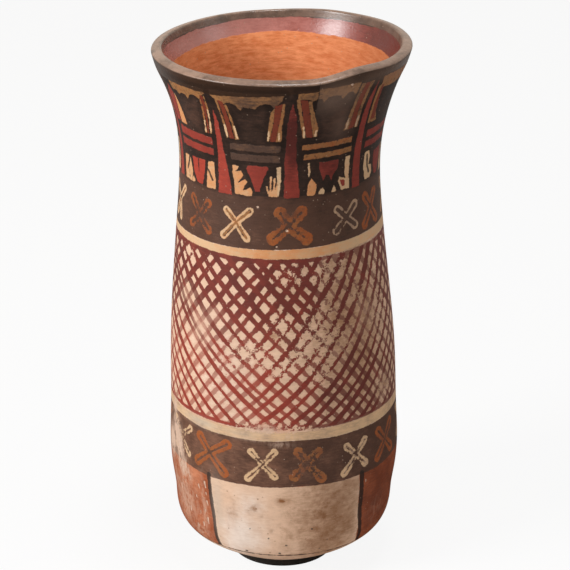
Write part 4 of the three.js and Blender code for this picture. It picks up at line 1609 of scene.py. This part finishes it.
# Pieces, each with the heights of its lower and upper joint and its slot.
COURSES = {
    "base_bowl": (None, BASE_TOP, "base_clay"),
    "panel_wall": (BASE_TOP, PANEL_TOP, "panel_slip"),
    "lower_cross_wall": (PANEL_TOP, LOWER_CROSS_TOP, "cross_slip"),
    "lower_net_wall": (LOWER_CROSS_TOP, LOWER_NET_TOP, "net_slip"),
    "upper_net_wall": (LOWER_NET_TOP, UPPER_NET_TOP, "net_slip_upper"),
    "upper_cross_wall": (UPPER_NET_TOP, UPPER_CROSS_TOP, "cross_slip_upper"),
    "neck_wall": (UPPER_CROSS_TOP, NECK_TOP, "feather_slip"),
    "flared_collar": (NECK_TOP, COLLAR_TOP, "collar_slip"),
    "rim_lip": (COLLAR_TOP, None, "rim_slip"),
}


def build_courses(scene, *nodes):
    for node in nodes:
        bottom, top, slot = COURSES[node]
        mesh = course_mesh("painted_" + node, bottom, top, scene.beaker_wall)
        clay = PaintedClay("finish_" + node, scene.beaker_colours, scene.beaker_wear)
        place_piece("painted_" + node, mesh, clay.finished(), CLAY_BODY, node)


class BEAKER_OT_base(bpy.types.Operator):
    """Turns the rounded base course."""

    bl_idname = "beaker.base"
    bl_label = "Base bowl"

    def execute(self, context):
        build_courses(context.scene, "base_bowl")
        return {"FINISHED"}


class BEAKER_OT_panels(bpy.types.Operator):
    """Turns the wall with the cream and terracotta panels."""

    bl_idname = "beaker.panels"
    bl_label = "Panel wall"

    def execute(self, context):
        build_courses(context.scene, "panel_wall")
        return {"FINISHED"}


class BEAKER_OT_cross_bands(bpy.types.Operator):
    """Turns the two dark walls with the painted crosses."""

    bl_idname = "beaker.cross_bands"
    bl_label = "Cross bands"

    def execute(self, context):
        build_courses(context.scene, "lower_cross_wall", "upper_cross_wall")
        return {"FINISHED"}


class BEAKER_OT_net(bpy.types.Operator):
    """Turns the two walls that carry the painted net."""

    bl_idname = "beaker.net"
    bl_label = "Net walls"

    def execute(self, context):
        build_courses(context.scene, "lower_net_wall", "upper_net_wall")
        return {"FINISHED"}


class BEAKER_OT_feathers(bpy.types.Operator):
    """Turns the neck and the flared collar, which share the band of wedges and cells."""

    bl_idname = "beaker.feathers"
    bl_label = "Neck and collar"

    def execute(self, context):
        build_courses(context.scene, "neck_wall", "flared_collar")
        return {"FINISHED"}


class BEAKER_OT_lip(bpy.types.Operator):
    """Turns the lip."""

    bl_idname = "beaker.lip"
    bl_label = "Lip"

    def execute(self, context):
        build_courses(context.scene, "rim_lip")
        return {"FINISHED"}


class BEAKER_OT_ring(bpy.types.Operator):
    """Moulds the ring under the base."""

    bl_idname = "beaker.ring"
    bl_label = "Support ring"

    def execute(self, context):
        scene = context.scene
        mesh = ring_mesh(scene.beaker_wall.columns // 3)
        rubber = moulded_rubber("finish_support_ring", scene.beaker_colours)
        name = "moulded_support_ring"
        place_piece(name, mesh, rubber, RING_BODY, "support_ring")
        return {"FINISHED"}


# The stage.
TARGET = Vector((0, 0, 0.12))
KEY_PLACE, KEY_SIZE = Vector((-1.13, -0.65, 0.82)), 0.5
TOP_PLACE, TOP_SIZE = Vector((0.08, -0.12, 1.35)), 0.3
RIGHT_PLACE, RIGHT_SIZE = Vector((1.2, -0.35, 0.7)), 0.5
SKY_TINT = (1.0, 0.88, 0.76, 1.0)
WHITE, PAPER = (1.0, 1.0, 1.0, 1.0), (0.86, 0.86, 0.86, 1.0)
FLOOR_MIRRORED = (0.06, 0.05, 0.045, 1.0)
FLOOR_MIRRORED_BEHIND, FLOOR_BEHIND = 0.55, (-0.05, 0.5)
FLOOR_REACH = 4.0


def add_lamp(name, place, size, power, tint=(1, 1, 1)):
    """A square lamp that faces the object."""
    lamp = bpy.data.lights.new(name, "AREA")
    lamp.size = size
    lamp.energy = power
    lamp.color = tint
    holder = bpy.data.objects.new(name, lamp)
    holder.location = place
    holder.rotation_euler = (TARGET - place).to_track_quat("-Z", "Y").to_euler()
    bpy.context.scene.collection.objects.link(holder)


def add_camera(settings):
    """The camera looks along +Y, tilted down and leaning a little."""
    camera = bpy.data.cameras.new("camera")
    camera.lens = settings.lens / MM
    holder = bpy.data.objects.new("camera", camera)
    tilt = Matrix.Rotation(math.pi / 2 - settings.tilt, 4, "X")
    roll = Matrix.Rotation(settings.roll, 4, "Z")
    holder.matrix_world = Matrix.Translation(settings.place) @ tilt @ roll
    bpy.context.scene.collection.objects.link(holder)
    bpy.context.scene.camera = holder


def add_floor(settings):
    """A square floor that shows white to the camera and keeps the shadow of the object.

    In front of the object it's dark in reflections, so that the burnished wall keeps its depth.
    """
    reach = FLOOR_REACH
    mesh = bpy.data.meshes.new("floor")
    corners = [(-reach, -reach, 0), (reach, -reach, 0), (reach, reach, 0), (-reach, reach, 0)]
    mesh.from_pydata(corners, [], [(0, 1, 2, 3)])
    finish = Finish("floor")
    paper = finish.node("ShaderNodeBsdfDiffuse", None, {"Color": PAPER})
    glow = finish.node("ShaderNodeEmission", None, {"Color": WHITE, "Strength": 1.0})
    shadow = finish.node("ShaderNodeBsdfDiffuse", None, {"Color": FLOOR_MIRRORED})
    path = finish.node("ShaderNodeLightPath")
    seen = Signal(finish, path.outputs["Is Camera Ray"])
    mirrored = Signal(finish, path.outputs["Is Glossy Ray"])
    depth = finish.node("ShaderNodeSeparateXYZ", None, {0: finish.place}).outputs["Y"]
    in_front = 1 - FLOOR_MIRRORED_BEHIND * Signal(finish, depth).ease(*FLOOR_BEHIND)
    mixed = finish.node(
        "ShaderNodeMixShader", None,
        {0: seen * settings.whiteness, 1: paper.outputs[0], 2: glow.outputs[0]},
    )
    mixed = finish.node(
        "ShaderNodeMixShader", None,
        {0: mirrored * in_front, 1: mixed.outputs[0], 2: shadow.outputs[0]},
    )
    finish.node("ShaderNodeOutputMaterial", None, {"Surface": mixed.outputs[0]})
    mesh.materials.append(finish.material)
    floor = bpy.data.objects.new("floor", mesh)
    bpy.context.scene.collection.objects.link(floor)


def add_sky(settings):
    """Even light from all sides, which shows plain white to the camera."""
    world = bpy.data.worlds.new("sky")
    world.use_nodes = True
    tree = world.node_tree
    tree.nodes.clear()
    path = tree.nodes.new("ShaderNodeLightPath")
    shown = None
    for ray, strength, tint in (
        (None, settings.sky, SKY_TINT),
        ("Is Glossy Ray", settings.ceiling, SKY_TINT),
        ("Is Camera Ray", 1.0, WHITE),
    ):
        light = tree.nodes.new("ShaderNodeBackground")
        light.inputs["Color"].default_value = tint
        light.inputs["Strength"].default_value = strength
        if ray is None:
            shown = light.outputs[0]
            continue
        mixed = tree.nodes.new("ShaderNodeMixShader")
        tree.links.new(path.outputs[ray], mixed.inputs[0])
        tree.links.new(shown, mixed.inputs[1])
        tree.links.new(light.outputs[0], mixed.inputs[2])
        shown = mixed.outputs[0]
    output = tree.nodes.new("ShaderNodeOutputWorld")
    tree.links.new(shown, output.inputs[0])
    bpy.context.scene.world = world


class BEAKER_OT_stage(bpy.types.Operator):
    """Sets up the camera, the lamps, the sky and the floor."""

    bl_idname = "beaker.stage"
    bl_label = "Stage"

    def execute(self, context):
        scene = context.scene
        settings = scene.beaker_stage
        scene.view_settings.view_transform = "Standard"
        add_camera(settings)
        add_floor(settings)
        add_sky(settings)
        add_lamp("key", KEY_PLACE, KEY_SIZE, settings.key)
        add_lamp("top", TOP_PLACE, TOP_SIZE, settings.top)
        add_lamp("right", RIGHT_PLACE, RIGHT_SIZE, settings.right)
        return {"FINISHED"}


OPERATORS = (
    BEAKER_OT_base, BEAKER_OT_panels, BEAKER_OT_cross_bands, BEAKER_OT_net, BEAKER_OT_feathers,
    BEAKER_OT_lip, BEAKER_OT_ring, BEAKER_OT_stage,
)
SETTINGS = {
    "beaker_wall": WallSettings,
    "beaker_colours": SlipColours,
    "beaker_wear": WearSettings,
    "beaker_stage": StageSettings,
}


class BEAKER_PT_builder(bpy.types.Panel):
    """Lists the pieces of the beaker, each with a button that builds it."""

    bl_idname = "BEAKER_PT_builder"
    bl_label = "Painted beaker"
    bl_space_type = "VIEW_3D"
    bl_region_type = "UI"
    bl_category = "Beaker"

    def draw(self, context):
        for operator in OPERATORS:
            self.layout.operator(operator.bl_idname)


def register():
    for kind in (*SETTINGS.values(), *OPERATORS, BEAKER_PT_builder):
        bpy.utils.register_class(kind)
    for name, kind in SETTINGS.items():
        setattr(bpy.types.Scene, name, PointerProperty(type=kind))


def unregister():
    for name in SETTINGS:
        delattr(bpy.types.Scene, name)
    for kind in (BEAKER_PT_builder, *OPERATORS, *SETTINGS.values()):
        bpy.utils.unregister_class(kind)


def main():
    register()
    bpy.ops.beaker.stage()
    bpy.ops.beaker.base()
    bpy.ops.beaker.panels()
    bpy.ops.beaker.cross_bands()
    bpy.ops.beaker.net()
    bpy.ops.beaker.feathers()
    bpy.ops.beaker.lip()
    bpy.ops.beaker.ring()


if __name__ == "__main__":
    main()
